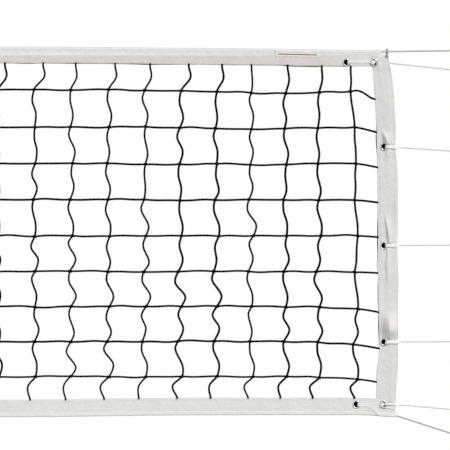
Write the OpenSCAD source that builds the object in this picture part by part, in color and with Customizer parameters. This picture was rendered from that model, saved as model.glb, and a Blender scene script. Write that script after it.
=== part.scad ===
// Volleyball net on two telescopic posts.
// X runs along the net, Y across it and Z up. The origin lies on the floor, midway between the posts.

/* [Net] */
// Length of the net over its side tapes
net_len = 9500; // [8500:50:9800]
// Height of the net from the top of the top tape to the bottom of the bottom tape
net_h = 1022; // [950:5:1100]
// Height of the net's top edge above the floor
net_top_z = 2430; // [2350:5:2500]
// Height of one mesh
mesh_h = 100; // [80:1:110]
// Width of one mesh as the net hangs
mesh_w = 98.3; // [80:0.1:110]
// Meshes that each modelled twine stands for
mesh_step = 2; // [2:1:4]
// Thickness of the twine
twine_d = 4.4; // [3:0.2:5]
// How far an upright twine sways from its line
twine_sway = 7; // [0:0.5:12]
// How far a level twine dips from its line
twine_dip = 2.5; // [0:0.5:5]
// Distance of the last upright twine from the net's outer edge
column_inset = 129; // [100:1:160]
// Distance of the first level twine below the net's top edge
first_row_depth = 112; // [90:1:130]

/* [Tapes] */
// Width of the top tape
top_tape_w = 46; // [38:1:80]
// Width of the bottom tape
bottom_tape_w = 46; // [38:1:80]
// Width of a side tape
side_tape_w = 54; // [44:1:80]
// Thickness of the sheet that the tapes are folded from
tape_t = 1.2; // [0.8:0.1:2]
// Length of the blank patch on the top tape
patch_len = 125; // [60:5:200]
// Height of the blank patch on the top tape
patch_h = 15; // [8:1:20]
// Thickness of the blank patch
patch_t = 0.5; // [0.3:0.1:1]

/* [Eyelets] */
// Hole of an eyelet
eyelet_hole_d = 14; // [12:0.5:15]
// Outer diameter of an eyelet's rim
eyelet_rim_d = 22; // [19:0.5:26]
// Thickness of an eyelet's sheet metal
eyelet_t = 0.7; // [0.5:0.1:1]
// Distance of the side eyelets from the net's outer edge
side_eyelet_inset = 36; // [30:1:42]
// Depth of the upper side eyelet below the net's top edge
upper_eyelet_depth = 269; // [200:1:320]
// Depth of the middle side eyelet
middle_eyelet_depth = 545; // [480:1:600]
// Depth of the lower side eyelet
lower_eyelet_depth = 814; // [760:1:860]

/* [Ropes] */
// Thickness of the headline cable
cable_d = 5; // [4:0.5:6]
// Thickness of the line in the bottom tape
bottom_line_d = 4; // [3:0.5:5]
// Thickness of the tie ropes
rope_d = 4; // [3:0.1:4.4]
// Thickness of a knot in a tie rope
knot_d = 10; // [9:0.5:12]

/* [Posts] */
// Distance from the net's outer edge to a post's axis
rope_reach = 300; // [240:5:750]
// Outer diameter of the mast, the tube that slides
mast_d = 76; // [70:1:90]
// Wall of the mast
mast_wall = 3; // [2.5:0.5:5]
// Distance from the mast's foot to the floor
mast_foot_z = 330; // [310:5:400]
// Wall of the plastic bushes between mast and lower tube
bush_t = 3.4; // [3:0.2:6]
// Wall of the lower tube
lower_wall = 3.5; // [2.5:0.5:6]
// Height of the lower tube's top above the floor
lower_h = 1000; // [900:5:1010]
// Length of the bush in the lower tube
guide_bush_len = 100; // [60:5:200]
// Length of the bush on the mast's foot
foot_bush_len = 70; // [40:5:100]

/* [Base] */
// Side of the square base plate
base_side = 400; // [360:5:500]
// Thickness of the base plate
base_t = 10; // [8:1:20]
// Distance between the floor bolts
bolt_spacing = 320; // [260:5:330]
// Holes for the floor bolts
bolt_hole_d = 14; // [10:0.5:20]
// Height of a gusset
gusset_h = 110; // [60:5:200]
// Length of a gusset along the plate
gusset_len = 110; // [60:5:125]
// Thickness of a gusset
gusset_t = 8; // [5:1:12]

/* [Head] */
// Radius of the cable's middle on a sheave
sheave_pitch_r = 30; // [27:0.5:32]
// Width of a sheave
sheave_w = 12; // [10:0.5:14]
// Height of a sheave's rim above the cable's middle
sheave_rim = 5; // [4:0.5:6]
// Diameter of a sheave's axle
axle_d = 10; // [8:0.5:12]
// Rise of the cable from the net's corner to the sheave
cable_rise = 5; // [0:0.5:8]
// Thickness of the mast's cap
cap_t = 4; // [3:0.5:5]

/* [Hooks] */
// Thickness of a rope hook's bar
hook_d = 8; // [6:0.5:10]
// Distance from the mast to the middle of a hook's upright end
hook_reach = 22; // [18:1:30]
// Height of a hook's upright end
hook_h = 16; // [14:1:24]
// Thickness of the peg that holds the cable's eye
peg_d = 12; // [10:0.5:16]
// Distance of that peg below the net's top edge
peg_drop = 440; // [300:5:800]

/* [Clamp] */
// Wall of the clamp collar round the mast
collar_t = 17.7; // [15:0.1:24]
// Height of the collar above the lower tube's top
collar_up = 30; // [26:1:38]
// Height of the collar below the lower tube's top
collar_down = 40; // [20:1:80]
// Gap of the collar's slit
slit_w = 4; // [2:0.5:6]
// Thickness of one of the collar's ears
ear_t = 12; // [8:0.5:16]
// Thickness of the collar's draw bolt
draw_bolt_d = 8; // [6:0.5:10]
// Radius of the lever's cam
cam_r = 8.2; // [7.6:0.1:10]
// How far the cam stands off its pin
cam_offset = 1; // [0.5:0.1:1.5]
// Thickness of the lever's pin
lever_pin_d = 5; // [4:0.5:6]
// Sweep of the lever's handle round the collar, in degrees
lever_sweep = 58; // [30:1:80]

/* [Winch] */
// Thickness of the winch frame's sheet
frame_t = 5; // [4:0.5:8]
// Radius of the wound cable's middle on the drum
winding_r = 34; // [34:0.5:40]
// Turns of cable on the drum
winding_turns = 4; // [2:1:4]
// Gap between one turn of cable and the next on the drum
winding_gap = 0.6; // [0.5:0.1:1.5]
// Gear module
gear_module = 2; // [1.8:0.05:2]
// Teeth of the gear on the drum
gear_teeth = 36; // [30:1:36]
// Teeth of the pinion on the crank's shaft
pinion_teeth = 12; // [12:1:15]
// Width of the gears
gear_w = 8; // [6:0.5:10]
// Thickness of the drum's shaft
drum_shaft_d = 12; // [10:0.5:14]
// Thickness of the crank's shaft
crank_shaft_d = 10; // [8:0.5:12]
// Length of the crank from shaft to handle
crank_len = 150; // [110:5:180]
// Thickness of the crank's handle pin
handle_d = 10; // [8:0.5:12]
// Thickness of the crank's grip
grip_d = 26; // [22:1:32]
// Length of the crank's grip
grip_len = 100; // [80:1:115]
// Thickness of the winch's U-bolts
u_bolt_d = 8; // [6:0.5:10]

/* [Hidden] */
$fn = 48;

// Gap between pieces that lie close without touching
seat_gap = 0.3;
// Radial play of a shaft in its hole, and of a bush on its tube
run_play = 0.08;
// How far a cut runs past the face that it cuts
over = 1;

// Net
half_len = net_len / 2;
net_bottom_z = net_top_z - net_h;
net_body_t = 2 * tape_t;
twine_y = (twine_d + seat_gap) / 2;
twine_sides = 3;
column_pitch = mesh_w * mesh_step;
column_count = floor((net_len - 2 * column_inset) / column_pitch + 0.5) + 1;
column_gap = (net_len - 2 * column_inset) / (column_count - 1);
row_pitch = mesh_h * mesh_step;
row_count = floor((net_h - bottom_tape_w - first_row_depth) / row_pitch) + 1;

// Folds that hold the lines
cable_r = cable_d / 2;
cable_fold_r = cable_r + seat_gap;
cable_z = net_top_z - cable_fold_r - tape_t;
line_fold_r = bottom_line_d / 2 + seat_gap;
line_z = net_bottom_z + line_fold_r + tape_t;

// Eyelets: distance from the outer edge and depth below the top edge
rim_margin = eyelet_rim_d / 2 + 0.5;
top_eyelet_depth = top_tape_w - rim_margin;
low_eyelet_depth = net_h - bottom_tape_w + rim_margin;
corner_insets = [64, 141];
low_insets = [38, 113];
tie_eyelets = [
    [corner_insets[0], top_eyelet_depth],
    [side_eyelet_inset, upper_eyelet_depth],
    [side_eyelet_inset, middle_eyelet_depth],
    [side_eyelet_inset, lower_eyelet_depth],
    [low_insets[0], low_eyelet_depth]
];
// How far each rope drops from its eyelet to its hook
rope_drops = [29, 18, -2, -2, 21];
line_drop = 72;

// Posts
post_x = half_len + rope_reach;
mast_r = mast_d / 2;
mast_in_r = mast_r - mast_wall;
mast_top_z = cable_z - cable_r - 9.5;
lower_in_r = mast_r + run_play + bush_t;
lower_r = lower_in_r + lower_wall;

// Head: the sheave hangs over the mast's outer side, so that the cable drops clear of the mast
drop_gap = 3;
drop_x = mast_r + frame_t + seat_gap + drop_gap + cable_r;
sheave_x = drop_x - sheave_pitch_r;
sheave_r = sheave_pitch_r + sheave_rim;
sheave_z = cable_z + cable_rise - sheave_pitch_r;
spacer_r = axle_d / 2 + 3;
axle_seat_y = sqrt(pow(mast_r, 2) - pow(max(0, sheave_x - axle_d * 0.8), 2)) + seat_gap;
axle_head_t = 6;

// Hooks
hook_x = mast_r + hook_reach;
hook_end_x = post_x - hook_x;
rope_r = rope_d / 2;
loop_r = hook_d / 2 + seat_gap + rope_r;
hook_stub_drop = hook_d / 2 + rope_r + seat_gap;
hook_drops = concat(
    [for (i = [0 : len(tie_eyelets) - 1]) tie_eyelets[i][1] + rope_drops[i]],
    [net_h + line_drop]
);

// The eye at the cable's end hangs from the peg and lies against its underside
eye_r = 14;
eye_z = net_top_z - peg_drop - peg_d / 2 - seat_gap - cable_r + eye_r;
sleeve_r = 5.5;
sleeve_len = 28;
sleeve_z = eye_z + eye_r - cable_r;

// Collar and lever, seen from above with the mast's axis at the origin
collar_r = mast_r + collar_t + seat_gap;
ear_out_y = collar_r + 28;
draw_bolt_y = collar_r + 12;
draw_bolt_z = lower_h + collar_up / 2;
lever_x = slit_w / 2 + ear_t + seat_gap + cam_r + cam_offset;
lever_turn_r = norm([lever_x, draw_bolt_y]);
lever_angle = atan2(draw_bolt_y, lever_x);
lever_t = 8;
lever_h = 20;
fork_gap = 8;
eye_pin_r = 6.5;

// Winch: it stands halfway between the last two hooks, with the crank's shaft above the drum's
winch_z = net_top_z - (hook_drops[3] + hook_drops[4]) / 2 - 13;
drum_x = drop_x + winding_r;
drum_core_r = winding_r - cable_r - seat_gap;
drum_rim_r = winding_r + 4;
gear_distance = gear_module * (gear_teeth + pinion_teeth) / 2;
cheek_r = 16;
winding_pitch = cable_d + winding_gap;
flange_t = 2;
winding_bend_r = 6;
drum_low_y = -winding_turns * winding_pitch - winding_bend_r - cable_d - seat_gap;
drum_high_y = cable_r + 6.5;
gear_y = drum_high_y + flange_t + 2;
cheek_in_y = max(flange_t + seat_gap - drum_low_y, gear_y + gear_w + 4);
cheek_out_y = cheek_in_y + frame_t;
plate_half_w = 56;
plate_low_z = winch_z - 42;
plate_high_z = winch_z + gear_distance + 38;
u_bolt_r = mast_r + seat_gap + u_bolt_d / 2;
u_bolt_zs = [plate_low_z + 12, plate_high_z - 12];
arm_t = 6;
arm_y = -plate_half_w - 2;
pressure_angle = 25;
tooth_play = 0.35;

// --- Helpers -------------------------------------------------------------------------------

// A copy on each side of the net's middle
module on_both_sides() {
    children();
    mirror([1, 0, 0]) children();
}

// The right-hand part, or its mirror image on the left
module on_side(right) {
    mirror([right ? 0 : 1, 0, 0]) children();
}

// A cylinder along Y from low to high
module bar_y(x, z, low, high, r) {
    translate([x, high, z]) rotate([90, 0, 0]) cylinder(h = high - low, r = r);
}

// A cylinder along X from low to high
module bar_x(y, z, low, high, r) {
    translate([low, y, z]) rotate([0, 90, 0]) cylinder(h = high - low, r = r);
}

// A box between two corners
module block(low, high) {
    translate(low) cube(high - low);
}

// A flat outline in X and Z, raised along Y from low to high
module raise_y(low, high) {
    translate([0, high, 0]) rotate([90, 0, 0]) linear_extrude(high - low) children();
}

function unit(v) = v / norm(v);

// Directions along a line of points
function tangents(points) = [
    for (i = [0 : len(points) - 1])
        unit(points[min(i + 1, len(points) - 1)] - points[max(i - 1, 0)])
];

// Corners of a tube's rings, where each ring's first corner lies towards its own up
function ring_corners(points, ups, r, sides) =
    let (along = tangents(points))
    [
        for (i = [0 : len(points) - 1])
            let (across = unit(cross(along[i], ups[i])), up = cross(across, along[i]))
            for (k = [0 : sides - 1])
                points[i] + r * (cos(360 * k / sides) * up + sin(360 * k / sides) * across)
    ];

function tube_faces(rings, sides) = concat(
    [[for (k = [0 : sides - 1]) k]],
    [
        for (i = [0 : rings - 2])
            for (k = [0 : sides - 1])
                for (half = [0, 1])
                    let (a = i * sides + k, b = i * sides + (k + 1) % sides)
                    half == 0 ? [a, a + sides, b] : [b, a + sides, b + sides]
    ],
    [[for (k = [sides - 1 : -1 : 0]) (rings - 1) * sides + k]]
);

// One unbroken tube along a line of points
module tube(points, r, sides, ups = undef) {
    directions = is_undef(ups) ? [for (p = points) [0, 1, 0]] : ups;
    polyhedron(
        points = ring_corners(points, directions, r, sides),
        faces = tube_faces(len(points), sides)
    );
}

// --- Base and lower tubes ------------------------------------------------------------------

module base_plate(right) {
    color("slategray") on_side(right) translate([post_x, 0, 0])
        difference() {
            translate([-base_side / 2, -base_side / 2, 0]) cube([base_side, base_side, base_t]);
            for (x = [-1, 1], y = [-1, 1])
                translate([x * bolt_spacing / 2, y * bolt_spacing / 2, -over])
                    cylinder(h = base_t + 2 * over, r = bolt_hole_d / 2);
        }
}

module gussets() {
    color("slategray") on_both_sides() translate([post_x, 0, base_t])
        for (turn = [0 : 90 : 270])
            rotate([0, 0, turn]) translate([lower_r + 0.05, gusset_t / 2, 0]) rotate([90, 0, 0])
                linear_extrude(gusset_t)
                    polygon([[0, 0], [gusset_len, 0], [gusset_len, 12], [12, gusset_h], [0, gusset_h]]);
}

module lower_tube(right) {
    color("slategray") on_side(right) translate([post_x, 0, base_t])
        difference() {
            cylinder(h = lower_h - base_t, r = lower_r, $fn = 96);
            translate([0, 0, -over])
                cylinder(h = lower_h - base_t + 2 * over, r = lower_in_r, $fn = 96);
        }
}

module guide_bushes() {
    color("black") on_both_sides() translate([post_x, 0, lower_h - guide_bush_len])
        difference() {
            cylinder(h = guide_bush_len, r = lower_in_r - 0.02, $fn = 96);
            translate([0, 0, -over])
                cylinder(h = guide_bush_len + 2 * over, r = mast_r + run_play, $fn = 96);
        }
}

// --- Clamp ---------------------------------------------------------------------------------

module clamp_collar(right) {
    color("dimgray") on_side(right) translate([post_x, 0, 0])
        difference() {
            union() {
                translate([0, 0, lower_h - collar_down])
                    cylinder(h = collar_down + collar_up, r = collar_r, $fn = 96);
                block([-slit_w / 2 - ear_t, collar_r - 8, lower_h - 2],
                      [slit_w / 2 + ear_t, ear_out_y, lower_h + collar_up]);
            }
            translate([0, 0, lower_h - collar_down - over])
                cylinder(h = collar_down + over, r = lower_r + run_play, $fn = 96);
            translate([0, 0, lower_h - over])
                cylinder(h = collar_up + 2 * over, r = mast_r + seat_gap, $fn = 96);
            block([-slit_w / 2, 0, lower_h - collar_down - over],
                  [slit_w / 2, ear_out_y + over, lower_h + collar_up + over]);
            bar_x(draw_bolt_y, draw_bolt_z, -slit_w - ear_t - over, slit_w + ear_t + over,
                  draw_bolt_d / 2 + run_play);
        }
}

module clamp_bolts() {
    color("silver") on_both_sides() translate([post_x, 0, 0]) {
        bar_x(draw_bolt_y, draw_bolt_z, -slit_w / 2 - ear_t - 6, lever_x, draw_bolt_d / 2 - 0.5);
        translate([-slit_w / 2 - ear_t - 6, draw_bolt_y, draw_bolt_z]) rotate([0, 90, 0])
            cylinder(h = 6, r = draw_bolt_d * 0.85, $fn = 6);
        translate([lever_x, draw_bolt_y, draw_bolt_z - fork_gap / 2 + seat_gap])
            cylinder(h = fork_gap - 2 * seat_gap, r = eye_pin_r);
        translate([lever_x, draw_bolt_y, draw_bolt_z - lever_h / 2 - 1])
            cylinder(h = lever_h + 2, r = lever_pin_d / 2);
    }
}

// Two cam discs round the pin, and a handle that starts beside the pin and follows the collar
module clamp_lever(right) {
    disc_h = (lever_h - fork_gap) / 2;
    root_turn = 4;
    step_t = 1;
    color("firebrick") on_side(right) translate([post_x, 0, draw_bolt_z - lever_h / 2])
        difference() {
            union() {
                for (z = [0, disc_h + fork_gap])
                    translate([lever_x - cam_offset, draw_bolt_y, z])
                        cylinder(h = disc_h, r = cam_r);
                rotate([0, 0, lever_angle - lever_sweep])
                    rotate_extrude(angle = lever_sweep - root_turn, $fn = 120)
                        translate([lever_turn_r - lever_t / 2, step_t])
                            square([lever_t, lever_h - 2 * step_t]);
            }
            translate([lever_x, draw_bolt_y, disc_h]) cylinder(h = fork_gap, r = eye_pin_r + 2.5);
            translate([lever_x, draw_bolt_y, -over])
                cylinder(h = lever_h + 2 * over, r = lever_pin_d / 2 + run_play);
        }
}

// --- Masts ---------------------------------------------------------------------------------

module mast(right) {
    slot_w = sheave_w + 4;
    color("gainsboro") on_side(right) translate([post_x, 0, 0])
        difference() {
            translate([0, 0, mast_foot_z]) cylinder(h = mast_top_z - mast_foot_z, r = mast_r, $fn = 96);
            translate([0, 0, mast_foot_z - over])
                cylinder(h = mast_top_z - mast_foot_z + 2 * over, r = mast_in_r, $fn = 96);
            block([sheave_x, -slot_w / 2, sheave_z - sheave_r - 3],
                  [mast_r + over, slot_w / 2, mast_top_z + over]);
            bar_y(sheave_x, sheave_z, -mast_r - over, mast_r + over, axle_d / 2 + run_play);
        }
}

module mast_feet() {
    color("black") on_both_sides() translate([post_x, 0, mast_foot_z])
        difference() {
            cylinder(h = foot_bush_len, r = lower_in_r - run_play, $fn = 96);
            translate([0, 0, -over])
                cylinder(h = foot_bush_len + 2 * over, r = mast_r + 0.02, $fn = 96);
        }
}

// A cap with a slot for the sheave and a plug that fits the mast
module mast_caps() {
    slot_w = sheave_w + 4;
    plug_h = min(8, mast_top_z - sheave_z - spacer_r - 1);
    color("black") on_both_sides() translate([post_x, 0, mast_top_z])
        difference() {
            union() {
                cylinder(h = cap_t, r = mast_r + 1);
                translate([0, 0, -plug_h]) cylinder(h = plug_h, r = mast_in_r - seat_gap);
            }
            translate([0, 0, -plug_h - over]) cylinder(h = plug_h + over, r = mast_in_r - 3);
            block([sheave_x - sheave_r - 2, -slot_w / 2, -plug_h - over],
                  [mast_r + 2 * over, slot_w / 2, cap_t + over]);
        }
}

// The sheave's bolt with its nut, and a spacer on each side of the sheave
module sheave_axles() {
    color("silver") on_both_sides() translate([post_x, 0, 0]) {
        bar_y(sheave_x, sheave_z, -axle_seat_y - axle_head_t - 4, axle_seat_y, axle_d / 2);
        bar_y(sheave_x, sheave_z, axle_seat_y, axle_seat_y + axle_head_t, axle_d * 0.8);
        translate([sheave_x, -axle_seat_y, sheave_z]) rotate([90, 0, 0]) difference() {
            cylinder(h = axle_head_t, r = axle_d * 0.85, $fn = 6);
            translate([0, 0, -over]) cylinder(h = axle_head_t + 2 * over, r = axle_d / 2 + 0.02);
        }
        for (low = [-20, sheave_w / 2 + seat_gap])
            difference() {
                bar_y(sheave_x, sheave_z, low, low + 20 - sheave_w / 2 - seat_gap, spacer_r);
                bar_y(sheave_x, sheave_z, low - over, low + 21, axle_d / 2 + run_play);
            }
    }
}

module sheave(right) {
    color("ivory") on_side(right) translate([post_x + sheave_x, 0, sheave_z]) rotate([90, 0, 0])
        rotate_extrude($fn = 96) difference() {
            translate([axle_d / 2 + run_play, -sheave_w / 2])
                square([sheave_r - axle_d / 2 - run_play, sheave_w]);
            translate([sheave_pitch_r, 0]) circle(r = cable_r + seat_gap);
            translate([sheave_pitch_r, -cable_r - seat_gap])
                square([sheave_rim + over, cable_d + 2 * seat_gap]);
        }
}

// Bent bars on the net's side of the mast, one for each rope
module rope_hooks(right) {
    color("silver") on_side(right)
        for (drop = hook_drops)
            translate([post_x, 0, net_top_z - drop - hook_stub_drop]) {
                bar_x(0, 0, -hook_x, -mast_r - 0.05, hook_d / 2);
                translate([-hook_x, 0, 0]) sphere(r = hook_d / 2);
                translate([-hook_x, 0, 0]) cylinder(h = hook_h, r = hook_d / 2);
            }
}

// --- Cable ---------------------------------------------------------------------------------

// The peg on the left mast that holds the cable's eye
module cable_peg() {
    peg_len = drop_x + cable_r + 4;
    color("silver") on_side(false) translate([post_x, 0, net_top_z - peg_drop]) {
        bar_x(0, 0, mast_r + 0.05, peg_len, peg_d / 2);
        bar_x(0, 0, peg_len, peg_len + 4, peg_d / 2 + 4);
    }
}

// The eye at the cable's end, and the pressed sleeve that closes it
module cable_eye() {
    color("silver") on_side(false) translate([post_x + drop_x, 0, 0]) {
        translate([0, 0, eye_z]) rotate([0, 90, 0])
            rotate_extrude($fn = 64) translate([eye_r, 0]) circle(r = cable_r, $fn = 24);
        translate([0, 0, sleeve_z]) cylinder(h = sleeve_len, r = sleeve_r);
    }
}

// The cable leaves the tape's corner towards the sheave and turns down over it
function sheave_way(right) =
    let (
        side = right ? 1 : -1,
        to_sheave = [post_x + sheave_x - half_len, sheave_z - cable_z],
        slope = asin(sheave_pitch_r / norm(to_sheave)) + atan2(to_sheave[1], to_sheave[0]),
        steps = 9
    )
    [
        for (i = [0 : steps])
            let (a = (90 + slope) * (1 - i / steps))
            [side * (post_x + sheave_x + sheave_pitch_r * cos(a)), 0, sheave_z + sheave_pitch_r * sin(a)]
    ];

winding_start_z = winch_z + cable_d;
cable_route = concat(
    [[-post_x - drop_x, 0, sleeve_z + sleeve_len]],
    [for (i = [9 : -1 : 0]) sheave_way(false)[i]],
    [[-half_len, 0, cable_z], [half_len, 0, cable_z]],
    sheave_way(true),
    [[post_x + drop_x, 0, winding_start_z]]
);

module headline_cable() {
    color("darkgray") tube(cable_route, cable_r, 8);
}

// The turns on the drum start level with its shaft, run down under it and work towards the low
// flange. Both ends run straight for one diameter, and the last meets that flange squarely.
rings_per_turn = 24;
winding_rings = winding_turns * rings_per_turn;
function winding_angle(i) = 180 + 360 * i / rings_per_turn;
function winding_point(i) = [
    post_x + drum_x + winding_r * cos(winding_angle(i)),
    -winding_pitch * i / rings_per_turn,
    winch_z + winding_r * sin(winding_angle(i))
];
winding_route = concat(
    [[post_x + drop_x, 0, winding_start_z]],
    [for (i = [0 : winding_rings]) winding_point(i)],
    [
        for (a = [30, 60, 90])
            winding_point(winding_rings) - winding_bend_r * [0, 1 - cos(a), sin(a)]
    ],
    [winding_point(winding_rings) - [0, winding_bend_r + cable_d, winding_bend_r]]
);
winding_ups = concat(
    [[1, 0, 0]],
    [for (i = [0 : winding_rings]) [-cos(winding_angle(i)), 0, -sin(winding_angle(i))]],
    [for (i = [1 : 4]) [1, 0, 0]]
);
winding_gaps = [
    for (i = [0 : winding_rings - rings_per_turn])
        norm(winding_point(i) - winding_point(i + rings_per_turn)) - cable_d
];
echo(winding_least_gap = min(winding_gaps));

module cable_winding() {
    color("darkgray") tube(winding_route, cable_r, 6, winding_ups);
}

// --- Winch ---------------------------------------------------------------------------------

module winch_frame() {
    plate_x = mast_r + seat_gap;
    color("silver") translate([post_x, 0, 0])
        difference() {
            union() {
                block([plate_x, -plate_half_w, plate_low_z], [plate_x + frame_t, plate_half_w, plate_high_z]);
                for (y = [-cheek_out_y, cheek_in_y])
                    raise_y(y, y + frame_t) {
                        translate([plate_x, winch_z - cheek_r])
                            square([drum_x - plate_x + cheek_r, gear_distance + cheek_r]);
                        translate([drum_x, winch_z]) circle(r = cheek_r);
                        translate([plate_x, winch_z + gear_distance - over])
                            square([drum_x - plate_x, cheek_r + over]);
                        translate([drum_x, winch_z + gear_distance]) circle(r = cheek_r);
                    }
            }
            bar_y(drum_x, winch_z, -cheek_out_y - over, cheek_out_y + over, drum_shaft_d / 2 + run_play);
            bar_y(drum_x, winch_z + gear_distance, -cheek_out_y - over, cheek_out_y + over,
                  crank_shaft_d / 2 + run_play);
            for (z = u_bolt_zs, y = [-u_bolt_r, u_bolt_r])
                bar_x(y, z, plate_x - over, plate_x + frame_t + over, u_bolt_d / 2 + 0.2);
        }
}

module winch_u_bolts() {
    nut_x = mast_r + seat_gap + frame_t;
    color("silver") translate([post_x, 0, 0])
        for (z = u_bolt_zs) {
            translate([0, 0, z]) rotate([0, 0, 90]) rotate_extrude(angle = 180, $fn = 96)
                translate([u_bolt_r, 0]) circle(r = u_bolt_d / 2, $fn = 32);
            for (y = [-u_bolt_r, u_bolt_r]) {
                bar_x(y, z, 0, nut_x + 12, u_bolt_d / 2);
                translate([nut_x, y, z]) rotate([0, 90, 0]) cylinder(h = 6, r = u_bolt_d * 0.85, $fn = 6);
            }
        }
}

module drum_shaft() {
    color("silver") translate([post_x, 0, 0]) {
        bar_y(drum_x, winch_z, -cheek_out_y - 8, cheek_out_y + 0.1, drum_shaft_d / 2);
        bar_y(drum_x, winch_z, cheek_out_y + 0.1, cheek_out_y + 6, drum_shaft_d * 0.8);
        translate([drum_x, -cheek_out_y - 0.1, winch_z]) rotate([90, 0, 0])
            cylinder(h = 6, r = drum_shaft_d * 0.8, $fn = 6);
    }
}

module winch_drum() {
    color("gray") translate([post_x, 0, 0])
        difference() {
            union() {
                bar_y(drum_x, winch_z, drum_low_y, drum_high_y, drum_core_r);
                bar_y(drum_x, winch_z, drum_low_y - flange_t, drum_low_y, drum_rim_r);
                bar_y(drum_x, winch_z, drum_high_y, drum_high_y + flange_t, drum_rim_r);
            }
            bar_y(drum_x, winch_z, -cheek_in_y, cheek_in_y, drum_shaft_d / 2 + run_play);
        }
}

function involute(a) = tan(a) * 180 / PI - a;

// Half the angle that a tooth takes at radius r
function tooth_half(r, teeth) =
    let (
        pitch_r = gear_module * teeth / 2,
        base_r = pitch_r * cos(pressure_angle),
        a = r > base_r ? acos(base_r / r) : 0
    )
    90 / teeth - tooth_play / 2 / pitch_r * 180 / PI + involute(pressure_angle) - involute(a);

function gear_outline(teeth, shift) =
    let (
        pitch_r = gear_module * teeth / 2,
        root_r = pitch_r - 1.15 * gear_module,
        tip_r = pitch_r + 0.8 * gear_module,
        radii = [root_r, max(root_r + 0.1, pitch_r * cos(pressure_angle)), pitch_r, tip_r]
    )
    [
        for (k = [0 : teeth - 1])
            for (i = [0 : 7])
                let (
                    rising = i < 4,
                    r = radii[rising ? i : 7 - i],
                    a = shift + 360 * k / teeth + (rising ? -1 : 1) * tooth_half(r, teeth)
                )
                [r * cos(a), r * sin(a)]
    ];

module drum_gear() {
    color("goldenrod") translate([post_x, 0, 0])
        difference() {
            union() {
                raise_y(gear_y, gear_y + gear_w) translate([drum_x, winch_z])
                    polygon(gear_outline(gear_teeth, 90));
                bar_y(drum_x, winch_z, drum_high_y + flange_t, gear_y, drum_core_r * 0.6);
                bar_y(drum_x, winch_z, gear_y + gear_w, cheek_in_y - seat_gap, drum_shaft_d);
            }
            bar_y(drum_x, winch_z, 0, cheek_in_y, drum_shaft_d / 2 + run_play);
        }
}

module crank_shaft() {
    shaft_z = winch_z + gear_distance;
    color("silver") translate([post_x, 0, 0]) {
        bar_y(drum_x, shaft_z, arm_y - arm_t - 8, cheek_out_y + 4, crank_shaft_d / 2);
        raise_y(gear_y, gear_y + gear_w) translate([drum_x, shaft_z])
            polygon(gear_outline(pinion_teeth, -90 + 180 / pinion_teeth));
        bar_y(drum_x, shaft_z, cheek_out_y + seat_gap, cheek_out_y + 4, crank_shaft_d * 0.8);
        bar_y(drum_x, shaft_z, arm_y, -cheek_out_y - seat_gap, crank_shaft_d * 0.8);
        translate([drum_x, arm_y - arm_t, shaft_z]) rotate([90, 0, 0])
            cylinder(h = 6, r = crank_shaft_d * 0.85, $fn = 6);
    }
}

// The arm hangs straight down from its shaft and carries the handle's pin
module crank_arm() {
    shaft_z = winch_z + gear_distance;
    pin_end_y = arm_y - arm_t - grip_len - 3;
    color("silver") translate([post_x, 0, 0])
        difference() {
            union() {
                raise_y(arm_y - arm_t, arm_y) {
                    translate([drum_x, shaft_z]) circle(r = 14);
                    translate([drum_x - 10, shaft_z - crank_len]) square([20, crank_len]);
                    translate([drum_x, shaft_z - crank_len]) circle(r = 10);
                }
                bar_y(drum_x, shaft_z - crank_len, pin_end_y, arm_y - arm_t, handle_d / 2);
                bar_y(drum_x, shaft_z - crank_len, pin_end_y - 3, pin_end_y, handle_d * 0.8);
            }
            bar_y(drum_x, shaft_z, arm_y - arm_t - over, arm_y + over, crank_shaft_d / 2 + 0.02);
        }
}

module crank_grip() {
    grip_z = winch_z + gear_distance - crank_len;
    grip_high_y = arm_y - arm_t - 1;
    color("black") translate([post_x, 0, 0])
        difference() {
            bar_y(drum_x, grip_z, grip_high_y - grip_len, grip_high_y, grip_d / 2);
            bar_y(drum_x, grip_z, grip_high_y - grip_len - over, grip_high_y + over, handle_d / 2 + run_play);
        }
}

// --- Tapes ---------------------------------------------------------------------------------

// A tape folded round a line: the fold's middle lies on the X axis, and the sewn layers hang below it
module tape_run(length, fold_r, depth) {
    outer_r = fold_r + tape_t;
    difference() {
        union() {
            bar_x(0, 0, -length / 2, length / 2, outer_r);
            translate([-length / 2, 0, 0]) rotate([90, 0, 90]) linear_extrude(length)
                polygon([
                    [-outer_r * 0.9, -outer_r * 0.4], [outer_r * 0.9, -outer_r * 0.4],
                    [net_body_t / 2, -2 * outer_r], [-net_body_t / 2, -2 * outer_r]
                ]);
            block([-length / 2, -net_body_t / 2, -depth], [length / 2, net_body_t / 2, 0]);
        }
        bar_x(0, 0, -length / 2 - over, length / 2 + over, fold_r);
    }
}

module eyelet_hole(inset, depth) {
    on_both_sides()
        bar_y(half_len - inset, net_top_z - depth, -cable_d, cable_d, eyelet_hole_d / 2 + eyelet_t + 0.05);
}

module top_tape() {
    color("whitesmoke") difference() {
        translate([0, 0, cable_z]) tape_run(net_len, cable_fold_r, top_tape_w - cable_fold_r - tape_t);
        for (inset = corner_insets) eyelet_hole(inset, top_eyelet_depth);
    }
}

module bottom_tape() {
    color("whitesmoke") difference() {
        translate([0, 0, line_z]) mirror([0, 0, 1])
            tape_run(net_len, line_fold_r, bottom_tape_w - line_fold_r - tape_t);
        for (inset = low_insets) eyelet_hole(inset, low_eyelet_depth);
    }
}

module side_tape(right) {
    color("whitesmoke") on_side(right) difference() {
        block([half_len - side_tape_w, -net_body_t / 2, net_bottom_z + bottom_tape_w],
              [half_len, net_body_t / 2, net_top_z - top_tape_w]);
        for (i = [1 : 3]) eyelet_hole(tie_eyelets[i][0], tie_eyelets[i][1]);
    }
}

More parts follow.
